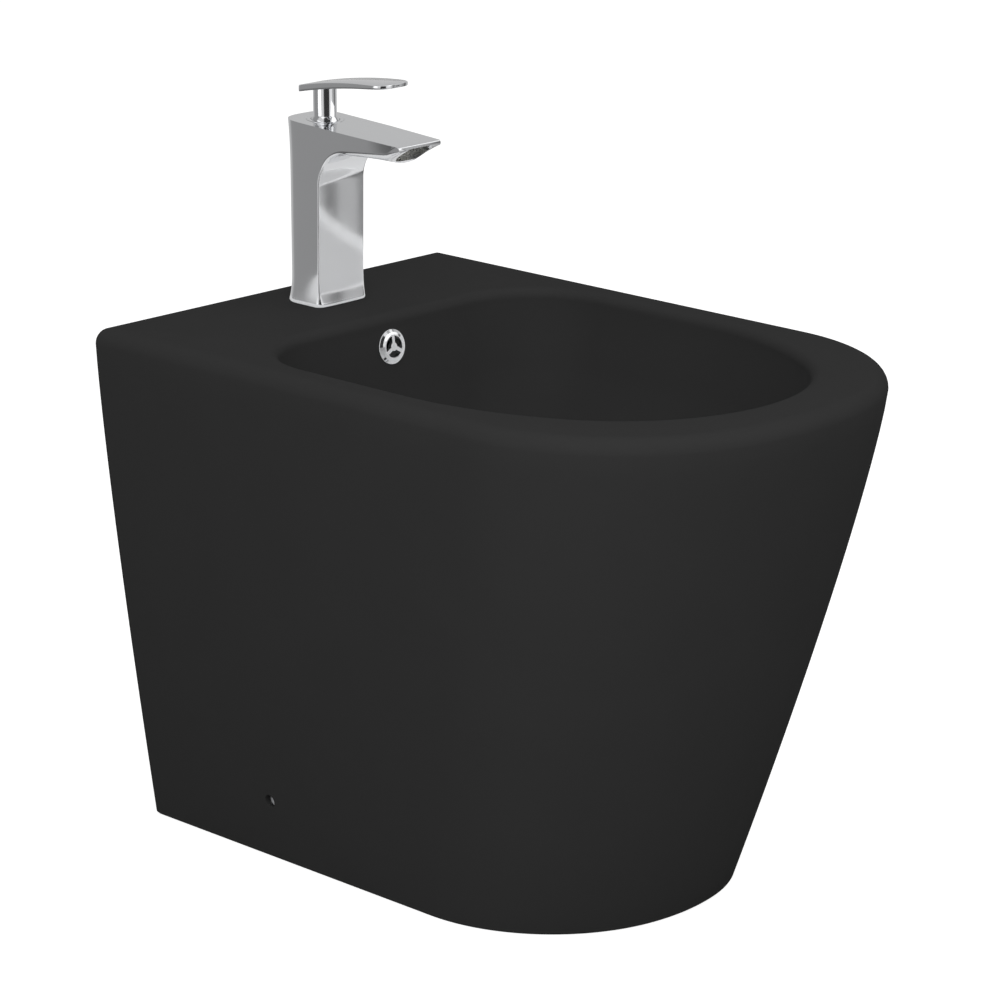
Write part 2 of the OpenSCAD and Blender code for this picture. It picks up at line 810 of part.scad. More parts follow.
module cartridge_body() {
    h = cartridge_low - seal_t / 2 - cap_top - cap_flange_t;
    color(nylon_white)
    at_tap() translate([0, 0, z_cartridge + seal_t / 2]) difference() {
        cylinder(r = cartridge_r, h = h, $fn = round_n);
        translate([0, 0, cartridge_floor_t - seal_t / 2])
            cylinder(r = inner_r, h = h, $fn = round_n);
        ports(cartridge_floor_t);
        for (side = [-1, 1]) translate([side * port_x, port_y, -cut])
            cylinder(r = port_r + seal_t + seat_gap, h = cut + seal_t / 2, $fn = round_n);
        translate([0, 0, cartridge_low - carrier_top - carrier_h / 2 - seal_t / 2])
            rod_y(window_r, -cartridge_r - cut, cartridge_r + cut);
    }
}

module cartridge_seals() {
    color(rubber_black)
    at_tap() for (side = [-1, 1]) translate([side * port_x, port_y, z_cartridge])
        tube(port_r + seal_t, port_r, seal_t - seat_gap);
}

module cartridge_cap() {
    color(nylon_white)
    at_tap() translate([0, 0, z_pivot - cap_low]) difference() {
        union() {
            cylinder(r = inner_r - seat_gap, h = cap_t, $fn = round_n);
            translate([0, 0, cap_t - cap_flange_t]) cylinder(r = cartridge_r, h = cap_flange_t,
                $fn = round_n);
        }
        translate([0, 0, -cut]) cylinder(r = hub_r + run_gap, h = cap_t + 2 * cut, $fn = round_n);
    }
}

module fixed_disc() {
    color(disc_white)
    at_tap() translate([0, 0, z_pivot - floor_top]) difference() {
        cylinder(r = inner_r - seat_gap, h = fixed_disc_t, $fn = round_n);
        ports(fixed_disc_t);
    }
}

module cartridge_nut() {
    color(brass_yellow)
    at_tap() translate([0, 0, z_pivot - cap_top])
        tube(nut_r, dome_r + move_gap, nut_h);
}

collar_gap = 0.3;
collar_proud = 0.2;
module dome_collar() {
    low = cap_top - nut_h - run_gap;
    color(chrome_grey)
    at_tap() difference() {
        translate([0, 0, z_pivot - low])
            cylinder(r = nut_r, h = low + pivot_drop + spout_fall, $fn = round_n);
        translate([0, 0, z_pivot]) sphere(r = dome_r + collar_gap, $fn = round_n);
        translate([0, 0, z_pivot - low - cut])
            cylinder(r = dome_r + move_gap, h = low + cut, $fn = round_n);
        translate([0, 0, spout_top_h + collar_proud]) rotate([atan(spout_fall / spout_reach), 0, 0])
            translate([-column_r, -column_r, 0]) cube(2 * column_r);
    }
}

// Outlet

housing_l = 8;
housing_t = 1;
housing_back = 4;
insert_t = 4;
insert_inset = 1;
insert_hole_r = 1.05;
insert_pitch = [3, 2.6];
insert_columns = 3;
module outlet_housing() {
    y1 = outlet_l - spout_reach - housing_back;
    color(nylon_white)
    at_tap() difference() {
        outlet_solid(-seat_gap, y1 - housing_l, y1);
        outlet_solid(-seat_gap - housing_t, y1 - housing_l - cut, y1 + cut);
    }
}

module outlet_insert() {
    y1 = outlet_l - spout_reach - housing_back - insert_inset;
    color(nylon_white)
    at_tap() difference() {
        outlet_solid(-2 * seat_gap - housing_t, y1 - insert_t, y1);
        for (i = [-insert_columns:insert_columns], k = [-1:1])
            if (k == 0 || abs(i) < insert_columns)
                translate([i * insert_pitch[0], 0, z_outlet + k * insert_pitch[1]])
                    rod_y(insert_hole_r, y1 - insert_t - cut, y1 + cut);
    }
}

// Lever and the moving pieces of the cartridge

hub_r = 5.5;
hub_up = 3.5;
fork_gap = 0.2;
fork_front = 6;
fork_back = 4.2;
pin_r = 1.25;
pin_l = 10.6;

module at_pivot() {
    translate([0, y_tap, body_h + z_pivot]) children();
}

module cartridge_rotor() {
    color(nylon_white)
    at_pivot() difference() {
        union() {
            translate([0, 0, -rotor_low]) cylinder(r = inner_r - move_gap, h = rotor_flange_t,
                $fn = round_n);
            translate([0, 0, -rotor_low]) cylinder(r = hub_r, h = rotor_low + hub_up, $fn = round_n);
        }
        translate([-spindle_r - fork_gap, -fork_front, -rotor_low - cut])
            cube([2 * (spindle_r + fork_gap), fork_front + fork_back, rotor_low + hub_up + 2 * cut]);
        rod_x(pin_r, -hub_r - cut, hub_r + cut);
    }
}

module pivot_pin() {
    color(steel_grey)
    at_pivot() rod_x(pin_r - run_gap / 2, -pin_l / 2, pin_l / 2);
}

ball_r = 2.4;
waist_r = 1.6;
waist_h = 3;
spindle_up = 24;
module spindle() {
    color(brass_yellow)
    at_pivot() difference() {
        union() {
            translate([0, 0, -spindle_arm]) sphere(r = ball_r, $fn = round_n);
            translate([0, 0, -spindle_arm]) cylinder(r = waist_r, h = waist_h + cut, $fn = round_n);
            translate([0, 0, waist_h - spindle_arm])
                cylinder(r = spindle_r, h = spindle_up + spindle_arm - waist_h, $fn = round_n);
        }
        rod_x(pin_r + run_gap / 2, -spindle_r - cut, spindle_r + cut);
    }
}

dome_skirt = 1;
lever_edge_n = 10;
profile_n = 8;
socket_gap = 0.05;
grub_r = 2;
grub_z = 17;
grub_l = 4;
cover_r = 2.6;
cover_t = 1.8;

// Height of the lever's top face above the pivot, at a share of its length
function lever_z(s) =
    pivot_drop + lever_rise_h + lever_rise * s + 4 * lever_bow * s * (1 - s);

module lever_plate() {
    shares = [for (i = [0:profile_n]) i / profile_n];
    straight = lever_l - lever_tip_w / 2;
    intersection() {
        rotate([90, 0, 90]) translate([0, 0, -lever_tip_w / 2 - cut])
            linear_extrude(lever_tip_w + 2 * cut) polygon(concat(
                [for (s = shares) [lever_back - s * lever_l, lever_z(s)]],
                [for (i = [profile_n:-1:0]) let (s = shares[i])
                    [lever_back - s * lever_l, lever_z(s) - lever_t]]
            ));
        linear_extrude(lever_z(1) + lever_t) polygon(concat(
            [[lever_rear_w / 2, lever_back], [-lever_rear_w / 2, lever_back]],
            [for (i = [0:lever_edge_n]) let (a = 180 + 180 * i / lever_edge_n)
                [lever_tip_w / 2 * cos(a), lever_back - straight + lever_tip_w / 2 * sin(a)]]
        ));
    }
}

module lever_handle() {
    neck_top = lever_z(lever_back / lever_l) - lever_t / 2;
    color(chrome_grey)
    at_pivot() difference() {
        union() {
            lever_plate();
            translate([0, 0, dome_r / 2]) cylinder(r = neck_r, h = neck_top - dome_r / 2, $fn = round_n);
            sphere(r = dome_r, $fn = round_n);
        }
        sphere(r = dome_r - dome_t, $fn = round_n);
        translate([-2 * dome_r, -2 * dome_r, -dome_skirt - 2 * dome_r])
            cube([4 * dome_r, 4 * dome_r, 2 * dome_r]);
        cylinder(r = spindle_r + socket_gap, h = spindle_up + socket_gap, $fn = round_n);
        translate([0, 0, grub_z]) rod_y(grub_r + socket_gap, 0, neck_r + cut);
        translate([0, 0, grub_z]) rod_y(cover_r + socket_gap, neck_r - cover_t - socket_gap,
            neck_r + cut);
    }
}

module grub_screw() {
    color(steel_grey)
    at_pivot() translate([0, 0, grub_z])
        rod_y(grub_r, spindle_r + socket_gap, spindle_r + socket_gap + grub_l);
}

module screw_cover() {
    color(chrome_grey)
    at_pivot() translate([0, 0, grub_z]) intersection() {
        rod_y(cover_r, neck_r - cover_t, neck_r + cut);
        translate([0, 0, -neck_r]) cylinder(r = neck_r, h = 2 * neck_r, $fn = round_n);
    }
}

socket_r = 2.7;
socket_d = 5.5;
module disc_carrier() {
    color(nylon_white)
    at_pivot() translate([0, 0, -disc_top]) difference() {
        cylinder(r = disc_r, h = carrier_h, $fn = round_n);
        translate([0, 0, carrier_h - socket_d]) cylinder(r = socket_r, h = socket_d + cut,
            $fn = round_n);
    }
}

pocket_w = 7;
pocket_d = 1.6;
module moving_disc() {
    color(disc_white)
    at_pivot() translate([0, 0, -disc_top - disc_t]) difference() {
        cylinder(r = disc_r, h = disc_t, $fn = round_n);
        translate([-pocket_w / 2, pocket_d, -cut]) cube([pocket_w, pocket_d, pocket_d + cut]);
    }
}

// Waste, in a frame on the waste's axis at the seat

module at_waste() {
    translate([0, y_waste, z_seat]) children();
}

top_seal_t = 1.5;
waste_bore_r = waste_r - waste_t;
boss_low = boss_h - seat_drop;
cone_h = 12;
cone_r = 29;
backnut_h = 9;
backnut_r = 31;
slot_w = 8;
slot_h = 11;

module waste_body() {
    slot_z = chamber_z + (chamber_h - slot_h) / 2 - z_seat;
    color(chrome_grey)
    at_waste() difference() {
        union() {
            translate([0, 0, -waste_l])
                cylinder(r = waste_r, h = waste_l + top_seal_t + flange_t, $fn = round_n);
            translate([0, 0, top_seal_t]) cylinder(r1 = seat_r - edge_inset,
                r2 = seat_r - edge_inset - flange_t, h = flange_t, $fn = round_n);
        }
        translate([0, 0, -waste_l - cut])
            cylinder(r = waste_bore_r, h = waste_l + top_seal_t + flange_t + 2 * cut, $fn = round_n);
        for (k = [0:1]) rotate(90 * k)
            translate([-waste_r - cut, -slot_w / 2, slot_z])
                cube([2 * (waste_r + cut), slot_w, slot_h]);
    }
}

module waste_top_seal() {
    color(rubber_black)
    at_waste() tube(seat_r - 2 * edge_inset, waste_r + seat_gap, top_seal_t);
}

module waste_cone_seal() {
    color(rubber_black)
    at_waste() translate([0, 0, -boss_low - cone_h]) difference() {
        cylinder(r1 = cone_r, r2 = waste_hole_r + edge_inset, h = cone_h, $fn = round_n);
        translate([0, 0, -cut]) cylinder(r = waste_r + seat_gap, h = cone_h + 2 * cut,
            $fn = round_n);
    }
}

module waste_backnut() {
    color(brass_yellow)
    at_waste() translate([0, 0, -boss_low - cone_h - backnut_h]) difference() {
        cylinder(r = backnut_r, h = backnut_h, $fn = hex_n);
        translate([0, 0, -cut]) cylinder(r = waste_r + run_gap, h = backnut_h + 2 * cut,
            $fn = round_n);
    }
}

// Push plug
dome_n = 8;
guide_top = 26;
guide_h = 8;
guide_hub_r = 6;
guide_rim_t = 1.6;
guide_rib_w = 2.4;
guide_rib_inset = 1;
stem_r = 2.5;
stem_below = 12;
cap_boss_r = 14;
cap_boss_h = 4;
cap_edge_t = 2;
seal_h = 2.5;
cap_z = top_seal_t + flange_t + move_gap + plug_travel;

module click_guide() {
    r = waste_bore_r - seat_gap;
    color(nylon_white)
    at_waste() translate([0, 0, -guide_top - guide_h]) difference() {
        union() {
            tube(r, r - guide_rim_t, guide_h);
            cylinder(r = guide_hub_r, h = guide_h, $fn = round_n);
            for (k = [0:2]) rotate(120 * k + 30)
                translate([guide_hub_r - guide_rib_inset, -guide_rib_w / 2, guide_rib_inset])
                    cube([r - guide_hub_r + guide_rib_inset - guide_rim_t / 2, guide_rib_w,
                        guide_h - 2 * guide_rib_inset]);
        }
        translate([0, 0, -cut]) cylinder(r = stem_r + run_gap, h = guide_h + 2 * cut, $fn = round_n);
    }
}

module plug_stem() {
    color(brass_yellow)
    at_waste() translate([0, 0, -guide_top - guide_h - stem_below])
        cylinder(r = stem_r, h = guide_top + guide_h + stem_below + cap_z - cap_boss_h / 2,
            $fn = round_n);
}

module plug_cap() {
    dome_rise = (pow(plug_r, 2) + pow(plug_dome_h, 2)) / (2 * plug_dome_h);
    color(chrome_grey)
    at_waste() translate([0, 0, cap_z]) difference() {
        union() {
            cylinder(r = plug_r, h = cap_edge_t, $fn = round_n);
            translate([0, 0, cap_edge_t]) rotate_extrude($fn = round_n)
                polygon(concat([[0, 0]], [for (i = [0:dome_n])
                    let (r = plug_r * (1 - i / dome_n))
                    [r, sqrt(pow(dome_rise, 2) - pow(r, 2)) - dome_rise + plug_dome_h]]));
            translate([0, 0, -cap_boss_h])
                cylinder(r = cap_boss_r, h = cap_boss_h + cap_edge_t, $fn = round_n);
        }
        translate([0, 0, -cap_boss_h - cut])
            cylinder(r = stem_r + run_gap, h = cap_boss_h / 2 + cut + run_gap, $fn = round_n);
    }
}

module plug_seal() {
    color(rubber_black)
    at_waste() translate([0, 0, cap_z - cap_boss_h + seat_gap])
        tube(waste_bore_r - move_gap, cap_boss_r + seat_gap, seal_h);
}

// A round wire wound about the Z axis
wire_r = 0.6;
wire_n = 6;
coil_r = 4.6;
coil_turns = 7;
coil_steps = 12;
spring_clear = 0.8;
function coil_ring(k, n, l) =
    let (
        a = 360 * coil_turns * k / n,
        rise = atan2(l / coil_turns, 2 * PI * coil_r)
    )
    [for (i = [0:wire_n - 1]) let (b = 360 * i / wire_n)
        [
            (coil_r + wire_r * cos(b)) * cos(a) + wire_r * sin(b) * sin(rise) * sin(a),
            (coil_r + wire_r * cos(b)) * sin(a) - wire_r * sin(b) * sin(rise) * cos(a),
            l * k / n + wire_r * sin(b) * cos(rise)
        ]];

module plug_spring() {
    l = guide_top + cap_z - cap_boss_h - 2 * spring_clear;
    n = coil_turns * coil_steps;
    color(steel_grey)
    at_waste() translate([0, 0, spring_clear - guide_top])
        ring_stack([for (k = [0:n]) [for (i = [wire_n - 1:-1:0]) coil_ring(k, n, l)[i]]]);
}

// Trap, in the waste's frame

head_r = trap_r;
head_h = 40;
head_below = 20;
head_top = waste_l + head_below;
head_t = 2.5;
inlet_flange_t = 2;
inlet_seal_t = 2;
inlet_nut_r = 26;
inlet_nut_up = 14;
inlet_nut_lip = 2;
shoulder_t = 4;
shoulder_w = 4;
shoulder_r = trap_r + shoulder_w;
cup_t = 3;
cup_seal_t = 2;
grip_n = 12;
grip_w = 3;
grip_h = 1.5;
thread_l = 16;
outlet_z = head_top + head_h / 2;
outlet_r = 19.5;
outlet_len = 34;
dip_r = 12;
dip_l = 90;

module trap_head() {
    color(nylon_white)
    at_waste() difference() {
        union() {
            translate([0, 0, -head_top - head_h]) cylinder(r = head_r, h = head_h, $fn = round_n);
            translate([0, 0, -head_top - head_h]) cylinder(r = shoulder_r, h = shoulder_t, $fn = round_n);
            translate([0, 0, -head_top - head_h - thread_l])
                cylinder(r = head_r, h = thread_l + shoulder_t, $fn = round_n);
            translate([0, 0, -head_top - head_t])
                cylinder(r = pipe_r, h = head_top + head_t - waste_l - inlet_seal_t, $fn = round_n);
            translate([0, 0, -waste_l - inlet_seal_t - inlet_flange_t])
                cylinder(r = waste_r, h = inlet_flange_t, $fn = round_n);
            translate([0, 0, -outlet_z]) rod_y(outlet_r, 0, head_r + outlet_len);
        }
        translate([0, 0, -head_top - head_h - thread_l - cut])
            cylinder(r = head_r - head_t, h = head_h + thread_l + cut - head_t, $fn = round_n);
        translate([0, 0, -head_top - head_h])
            cylinder(r = pipe_r - pipe_t, h = head_h + head_top, $fn = round_n);
        translate([0, 0, -outlet_z]) rod_y(outlet_r - head_t, 0, head_r + outlet_len + cut);
    }
}

module trap_inlet_nut() {
    low = waste_l + inlet_seal_t + inlet_flange_t + inlet_nut_lip;
    color(nylon_white)
    at_waste() translate([0, 0, -low]) difference() {
        cylinder(r = inlet_nut_r, h = inlet_nut_up + low - waste_l, $fn = round_n);
        translate([0, 0, -cut]) cylinder(r = pipe_r + seat_gap, h = inlet_nut_lip + 2 * cut,
            $fn = round_n);
        translate([0, 0, inlet_nut_lip]) cylinder(r = waste_r + seat_gap, h = inlet_nut_up + low,
            $fn = round_n);
    }
}

module trap_inlet_seal() {
    color(rubber_black)
    at_waste() translate([0, 0, -waste_l - inlet_seal_t])
        tube(waste_r, pipe_r - pipe_t, inlet_seal_t);
}

module trap_dip_tube() {
    color(nylon_white)
    at_waste() translate([0, 0, -head_top - dip_l]) difference() {
        cylinder(r = pipe_r - pipe_t - seat_gap, h = dip_l + inlet_nut_up, $fn = round_n);
        translate([0, 0, -cut]) cylinder(r = dip_r, h = dip_l + inlet_nut_up + 2 * cut,
            $fn = round_n);
    }
}

module trap_cup() {
    top = head_top + head_h + cup_seal_t;
    color(nylon_white)
    at_waste() translate([0, 0, -top - cup_l]) difference() {
        union() {
            cylinder(r = shoulder_r, h = cup_l, $fn = round_n);
            for (k = [0:grip_n - 1]) rotate(360 * k / grip_n)
                translate([shoulder_r - grip_h, -grip_w / 2, cup_l - thread_l])
                    cube([2 * grip_h, grip_w, thread_l - grip_h]);
        }
        translate([0, 0, cup_t]) cylinder(r = head_r - head_t, h = cup_l, $fn = round_n);
        translate([0, 0, cup_l - thread_l]) cylinder(r = head_r + seat_gap, h = thread_l + cut,
            $fn = round_n);
    }
}

module trap_cup_seal() {
    color(rubber_black)
    at_waste() translate([0, 0, -head_top - head_h - cup_seal_t])
        tube(shoulder_r - edge_inset, head_r + seat_gap, cup_seal_t);
}

outlet_nut_r = 25;
outlet_nut_l = 20;
outlet_lip = 2;
outlet_seal_l = 3;
outlet_insert_l = 22;
spigot_step = 0.4;
spigot_r = pipe_r - spigot_step;
outlet_end = head_r + outlet_len + outlet_seal_l + outlet_lip;

module trap_outlet_nut() {
    color(nylon_white)
    at_waste() translate([0, 0, -outlet_z]) difference() {
        rod_y(outlet_nut_r, outlet_end - outlet_nut_l, outlet_end);
        rod_y(outlet_r + seat_gap, outlet_end - outlet_nut_l - cut, outlet_end - outlet_lip);
        rod_y(spigot_r + seat_gap, outlet_end - outlet_lip - cut, outlet_end + cut);
    }
}

module trap_outlet_seal() {
    y0 = head_r + outlet_len;
    color(rubber_black)
    at_waste() translate([0, 0, -outlet_z]) difference() {
        rod_y(outlet_r, y0, y0 + outlet_seal_l);
        rod_y(spigot_r + seat_gap, y0 - cut, y0 + outlet_seal_l + cut);
    }
}

module trap_outlet_pipe() {
    y0 = head_r + outlet_len - outlet_insert_l;
    y1 = waste_from_wall - pipe_from_wall;
    color(nylon_white)
    at_waste() translate([0, 0, -outlet_z]) difference() {
        union() {
            rod_y(spigot_r, y0, y1);
            rod_y(pipe_r, outlet_end + edge_inset, y1);
        }
        rod_y(pipe_r - pipe_t, y0 - cut, y1 + cut);
    }
}

// Floor fixing, in a frame at a side hole with +Z pointing outwards through the wall

module at_side_hole(side) {
    translate([0, y_wall - side_hole_from_wall, side_hole_h])
        mirror([side < 0 ? 1 : 0, 0, 0]) children();
}

bracket_gap = 3;
bracket_x = side_x(0) - wall_t - bracket_gap;
hole_inset = 28;
wall_inner_x = side_x(side_hole_h) - wall_t;
sleeve_flange_r = 9;
sleeve_back = 1.8;
sleeve_in = 3.4;
screw_head_t = 3.2;
screw_end = 12;

module bracket(side) {
    color(steel_grey)
    at_side_hole(side) difference() {
        union() {
            translate([bracket_x - bracket_t, -bracket_w / 2, -side_hole_h])
                cube([bracket_t, bracket_w, bracket_h]);
            translate([bracket_x - bracket_l, -bracket_w / 2, -side_hole_h])
                cube([bracket_l, bracket_w, bracket_t]);
        }
        rod_x(screw_r + run_gap, bracket_x - bracket_t - cut, bracket_x + cut);
        translate([bracket_x - hole_inset, 0, -side_hole_h - cut])
            cylinder(r = floor_hole_r, h = bracket_t + 2 * cut, $fn = round_n);
    }
}

module bracket_left() {
    bracket(-1);
}

module bracket_right() {
    bracket(1);
}

module screw_sleeves() {
    color(rubber_black)
    for (side = [-1, 1]) at_side_hole(side) difference() {
        union() {
            rod_x(sleeve_flange_r, bracket_x, wall_inner_x - sleeve_back);
            rod_x(side_hole_r - seat_gap, bracket_x, wall_inner_x + sleeve_in);
        }
        rod_x(screw_r + run_gap, bracket_x - cut, wall_inner_x + sleeve_in + cut);
    }
}

module side_screws() {
    color(steel_grey)
    for (side = [-1, 1]) at_side_hole(side) {
        rod_x(screw_r, bracket_x - screw_end, wall_inner_x + sleeve_in + screw_head_t);
        rod_x(side_hole_r - 2 * seat_gap, wall_inner_x + sleeve_in,
            wall_inner_x + sleeve_in + screw_head_t);
    }
}

ceramic_body();
overflow_ring();
tap_body();
tap_base_seal();
tap_stud();
tap_gasket();
tap_plate();
tap_nut();
cartridge_body();
cartridge_seals();
cartridge_cap();
fixed_disc();
cartridge_nut();
dome_collar();
outlet_housing();
outlet_insert();
cartridge_rotor();
pivot_pin();
lever_handle();
spindle();
grub_screw();
screw_cover();
moving_disc();
disc_carrier();
waste_body();
waste_top_seal();
waste_cone_seal();
waste_backnut();
click_guide();
plug_spring();
plug_cap();
plug_stem();
plug_seal();
trap_head();
trap_inlet_nut();
trap_inlet_seal();
trap_dip_tube();
trap_cup();
trap_cup_seal();
trap_outlet_nut();
trap_outlet_seal();
trap_outlet_pipe();
bracket_left();
bracket_right();
side_screws();
screw_sleeves();
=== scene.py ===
"""Looks of a floor standing bidet with a single lever tap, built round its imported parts.

Shapes are given in millimetres and built in metres. The wall is at +Y and the bowl's front
at -Y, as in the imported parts.
"""

import json
import logging
import math
from dataclasses import dataclass
from enum import Enum
from typing import Iterable, Sequence

import bpy
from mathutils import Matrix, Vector

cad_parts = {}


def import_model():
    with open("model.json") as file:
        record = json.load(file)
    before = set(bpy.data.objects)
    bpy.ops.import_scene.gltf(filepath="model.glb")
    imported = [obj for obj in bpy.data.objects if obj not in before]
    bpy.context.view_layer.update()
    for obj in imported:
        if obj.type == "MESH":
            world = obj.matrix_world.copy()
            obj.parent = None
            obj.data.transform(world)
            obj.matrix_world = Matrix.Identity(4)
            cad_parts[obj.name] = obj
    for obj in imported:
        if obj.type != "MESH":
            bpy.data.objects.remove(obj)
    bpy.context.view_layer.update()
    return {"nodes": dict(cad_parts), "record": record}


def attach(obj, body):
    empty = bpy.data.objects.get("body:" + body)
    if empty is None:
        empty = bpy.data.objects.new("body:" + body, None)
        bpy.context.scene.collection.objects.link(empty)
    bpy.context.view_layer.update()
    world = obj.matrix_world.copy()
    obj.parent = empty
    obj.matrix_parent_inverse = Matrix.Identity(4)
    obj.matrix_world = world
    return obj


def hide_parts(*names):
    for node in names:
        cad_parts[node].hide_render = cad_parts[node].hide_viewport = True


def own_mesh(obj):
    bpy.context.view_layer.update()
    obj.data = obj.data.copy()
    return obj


LOG = logging.getLogger("bidet")
MM = 0.001

# Facets round turned bodies and round rods
TURNED_SIDES = 96
ROD_SIDES = 64

# Share of an edge's width at the middle point of its rounding
ROUNDED = 0.3

# Noise values between which the roughness runs from its lowest to its highest
PATCH_SPAN = (0.3, 0.7)
PATCH_DETAIL = 3.0
GRAIN_DETAIL = 2.0

# How much less often brushed grain repeats along its length
BRUSH_STRETCH = 0.04
BEVEL_SAMPLES = 6

# Colour sockets of a mix node
MIX_FIRST, MIX_SECOND, MIX_RESULT = 6, 7, 2

Point = tuple[float, float, float]
Ring = list[Point]


class Slot(Enum):
    """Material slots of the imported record."""

    GLAZE = "black_glaze"
    CHROME = "chrome"
    STEEL = "steel"
    BRASS = "brass"
    RUBBER = "black_rubber"
    NYLON = "white_nylon"
    PLASTIC = "white_plastic"
    DISC = "disc_ceramic"


class Cut(Enum):
    """Ways in which one mesh acts on another."""

    TAKE = "DIFFERENCE"
    JOIN = "UNION"


def linear(code: str) -> tuple[float, float, float, float]:
    """Turns an sRGB hex colour into linear values.

    Args:
        code: Six hex digits.

    Returns:
        Red, green, blue and an alpha of one.
    """
    parts = [int(code[i : i + 2], 16) / 255 for i in (0, 2, 4)]
    flat = [c / 12.92 if c <= 0.04045 else ((c + 0.055) / 1.055) ** 2.4 for c in parts]
    return flat[0], flat[1], flat[2], 1.0


def lerp(a: float, b: float, t: float) -> float:
    """Value at share t of the way from a to b.

    Args:
        a: Value at share 0.
        b: Value at share 1.
        t: The share.

    Returns:
        The value.
    """
    return a + (b - a) * t


# Shader nodes


def add(
    tree: bpy.types.NodeTree,
    kind: str,
    settings: dict[str, object] | None = None,
    inputs: dict[str | int, object] | None = None,
) -> bpy.types.Node:
    """Adds a node with its settings, values and links.

    Args:
        tree: The tree to add to.
        kind: The node's type.
        settings: Attributes of the node.
        inputs: For each input, a value or the output socket that feeds it.

    Returns:
        The new node.
    """
    node = tree.nodes.new(kind)
    for name, value in (settings or {}).items():
        setattr(node, name, value)
    for name, value in (inputs or {}).items():
        if isinstance(value, bpy.types.NodeSocket):
            tree.links.new(value, node.inputs[name])
        else:
            node.inputs[name].default_value = value
    return node


@dataclass(frozen=True)
class Finish:
    """A material made of one shader with fine procedural relief.

    Attributes:
        name: Name of the real material and its finish.
        colour: Base colour in sRGB hex.
        roughness: Mean roughness.
        metal: Whether the material is a metal.
        sheen_spread: How far the roughness varies to each side.
        patch_mm: Size of the patches in which it varies.
        grain_mm: Size of the relief's grain.
        grain_depth_mm: Depth of the relief.
        edge_mm: Radius by which edges look rounded.
        reflect: Strength of the reflection of a material that isn't a metal.
        brushed: Whether the grain is drawn out along one axis.
        depth_colour: Colour of a thin second tone in the patches.
        coat: Weight of a thin clear layer over a material that has no gloss of its own.
        mirrored: Pale colour that reflected rays see in place of the real one, a painted
            reflection that makes polished metal beside it mirror a bright surface.
    """

    name: str
    colour: str
    roughness: float
    metal: bool = False
    sheen_spread: float = 0.03
    patch_mm: float = 30.0
    grain_mm: float = 2.0
    grain_depth_mm: float = 0.01
    edge_mm: float = 0.3
    reflect: float = 0.5
    brushed: bool = False
    depth_colour: str | None = None
    coat: float = 0.0
    mirrored: str | None = None

    def build(self) -> bpy.types.Material:
        """Makes the material.

        Returns:
            The material.
        """
        material = bpy.data.materials.new(self.name)
        material.use_nodes = True
        tree = material.node_tree
        tree.nodes.clear()
        place = add(tree, "ShaderNodeTexCoord").outputs["Object"]
        stretch = (1.0, 1.0, BRUSH_STRETCH if self.brushed else 1.0)
        scaled = add(tree, "ShaderNodeMapping", inputs={"Vector": place, "Scale": stretch})
        patches = add(
            tree,
            "ShaderNodeTexNoise",
            inputs={
                "Vector": place,
                "Scale": 1 / (self.patch_mm * MM),
                "Detail": PATCH_DETAIL,
            },
        )
        rough = add(
            tree,
            "ShaderNodeMapRange",
            inputs={
                "Value": patches.outputs["Fac"],
                "From Min": PATCH_SPAN[0],
                "From Max": PATCH_SPAN[1],
                "To Min": max(0.0, self.roughness - self.sheen_spread),
                "To Max": self.roughness + self.sheen_spread,
            },
        )
        grain = add(
            tree,
            "ShaderNodeTexNoise",
            inputs={
                "Vector": scaled.outputs["Vector"],
                "Scale": 1 / (self.grain_mm * MM),
                "Detail": GRAIN_DETAIL,
            },
        )
        edge = add(
            tree,
            "ShaderNodeBevel",
            {"samples": BEVEL_SAMPLES},
            {"Radius": self.edge_mm * MM},
        )
        relief = add(
            tree,
            "ShaderNodeBump",
            inputs={
                "Strength": 1.0,
                "Distance": self.grain_depth_mm * MM,
                "Height": grain.outputs["Fac"],
                "Normal": edge.outputs["Normal"],
            },
        )
        shader = add(
            tree,
            "ShaderNodeBsdfPrincipled",
            inputs={
                "Base Color": linear(self.colour),
                "Metallic": 1.0 if self.metal else 0.0,
                "Roughness": rough.outputs["Result"],
                "Normal": relief.outputs["Normal"],
            },
        )
        if not self.metal:
            shader.inputs["Specular IOR Level"].default_value = self.reflect
            shader.inputs["Coat Weight"].default_value = self.coat
            shader.inputs["Coat Roughness"].default_value = self.roughness
        tone = self.tone(tree, patches)
        if tone is not None:
            tree.links.new(tone, shader.inputs["Base Color"])
        add(tree, "ShaderNodeOutputMaterial", inputs={"Surface": shader.outputs["BSDF"]})
        material.diffuse_color = linear(self.colour)
        return material

    def tone(
        self, tree: bpy.types.NodeTree, patches: bpy.types.Node
    ) -> bpy.types.NodeSocket | None:
        """Adds what makes the base colour vary, if anything does, and the painted reflection: a
        pale colour that reflected rays see in place of the real one.

        Args:
            tree: The material's tree.
            patches: The noise that draws the patches.

        Returns:
            The socket that gives the colour.
        """
        result = None
        if self.depth_colour is not None:
            patchy = add(
                tree,
                "ShaderNodeMix",
                {"data_type": "RGBA"},
                {"Factor": patches.outputs["Fac"]},
            )
            patchy.inputs[MIX_FIRST].default_value = linear(self.colour)
            patchy.inputs[MIX_SECOND].default_value = linear(self.depth_colour)
            result = patchy.outputs[MIX_RESULT]
        # Painted reflection: reflected rays see the pale colour instead of the real one, so
        # polished metal beside it mirrors a bright surface
        if self.mirrored is not None and result is not None:
            path = add(tree, "ShaderNodeLightPath")
            painted_reflection = add(
                tree,
                "ShaderNodeMix",
                {"data_type": "RGBA"},
                {"Factor": path.outputs["Is Glossy Ray"]},
            )
            tree.links.new(result, painted_reflection.inputs[MIX_FIRST])
            painted_reflection.inputs[MIX_SECOND].default_value = linear(self.mirrored)
            result = painted_reflection.outputs[MIX_RESULT]
        return result


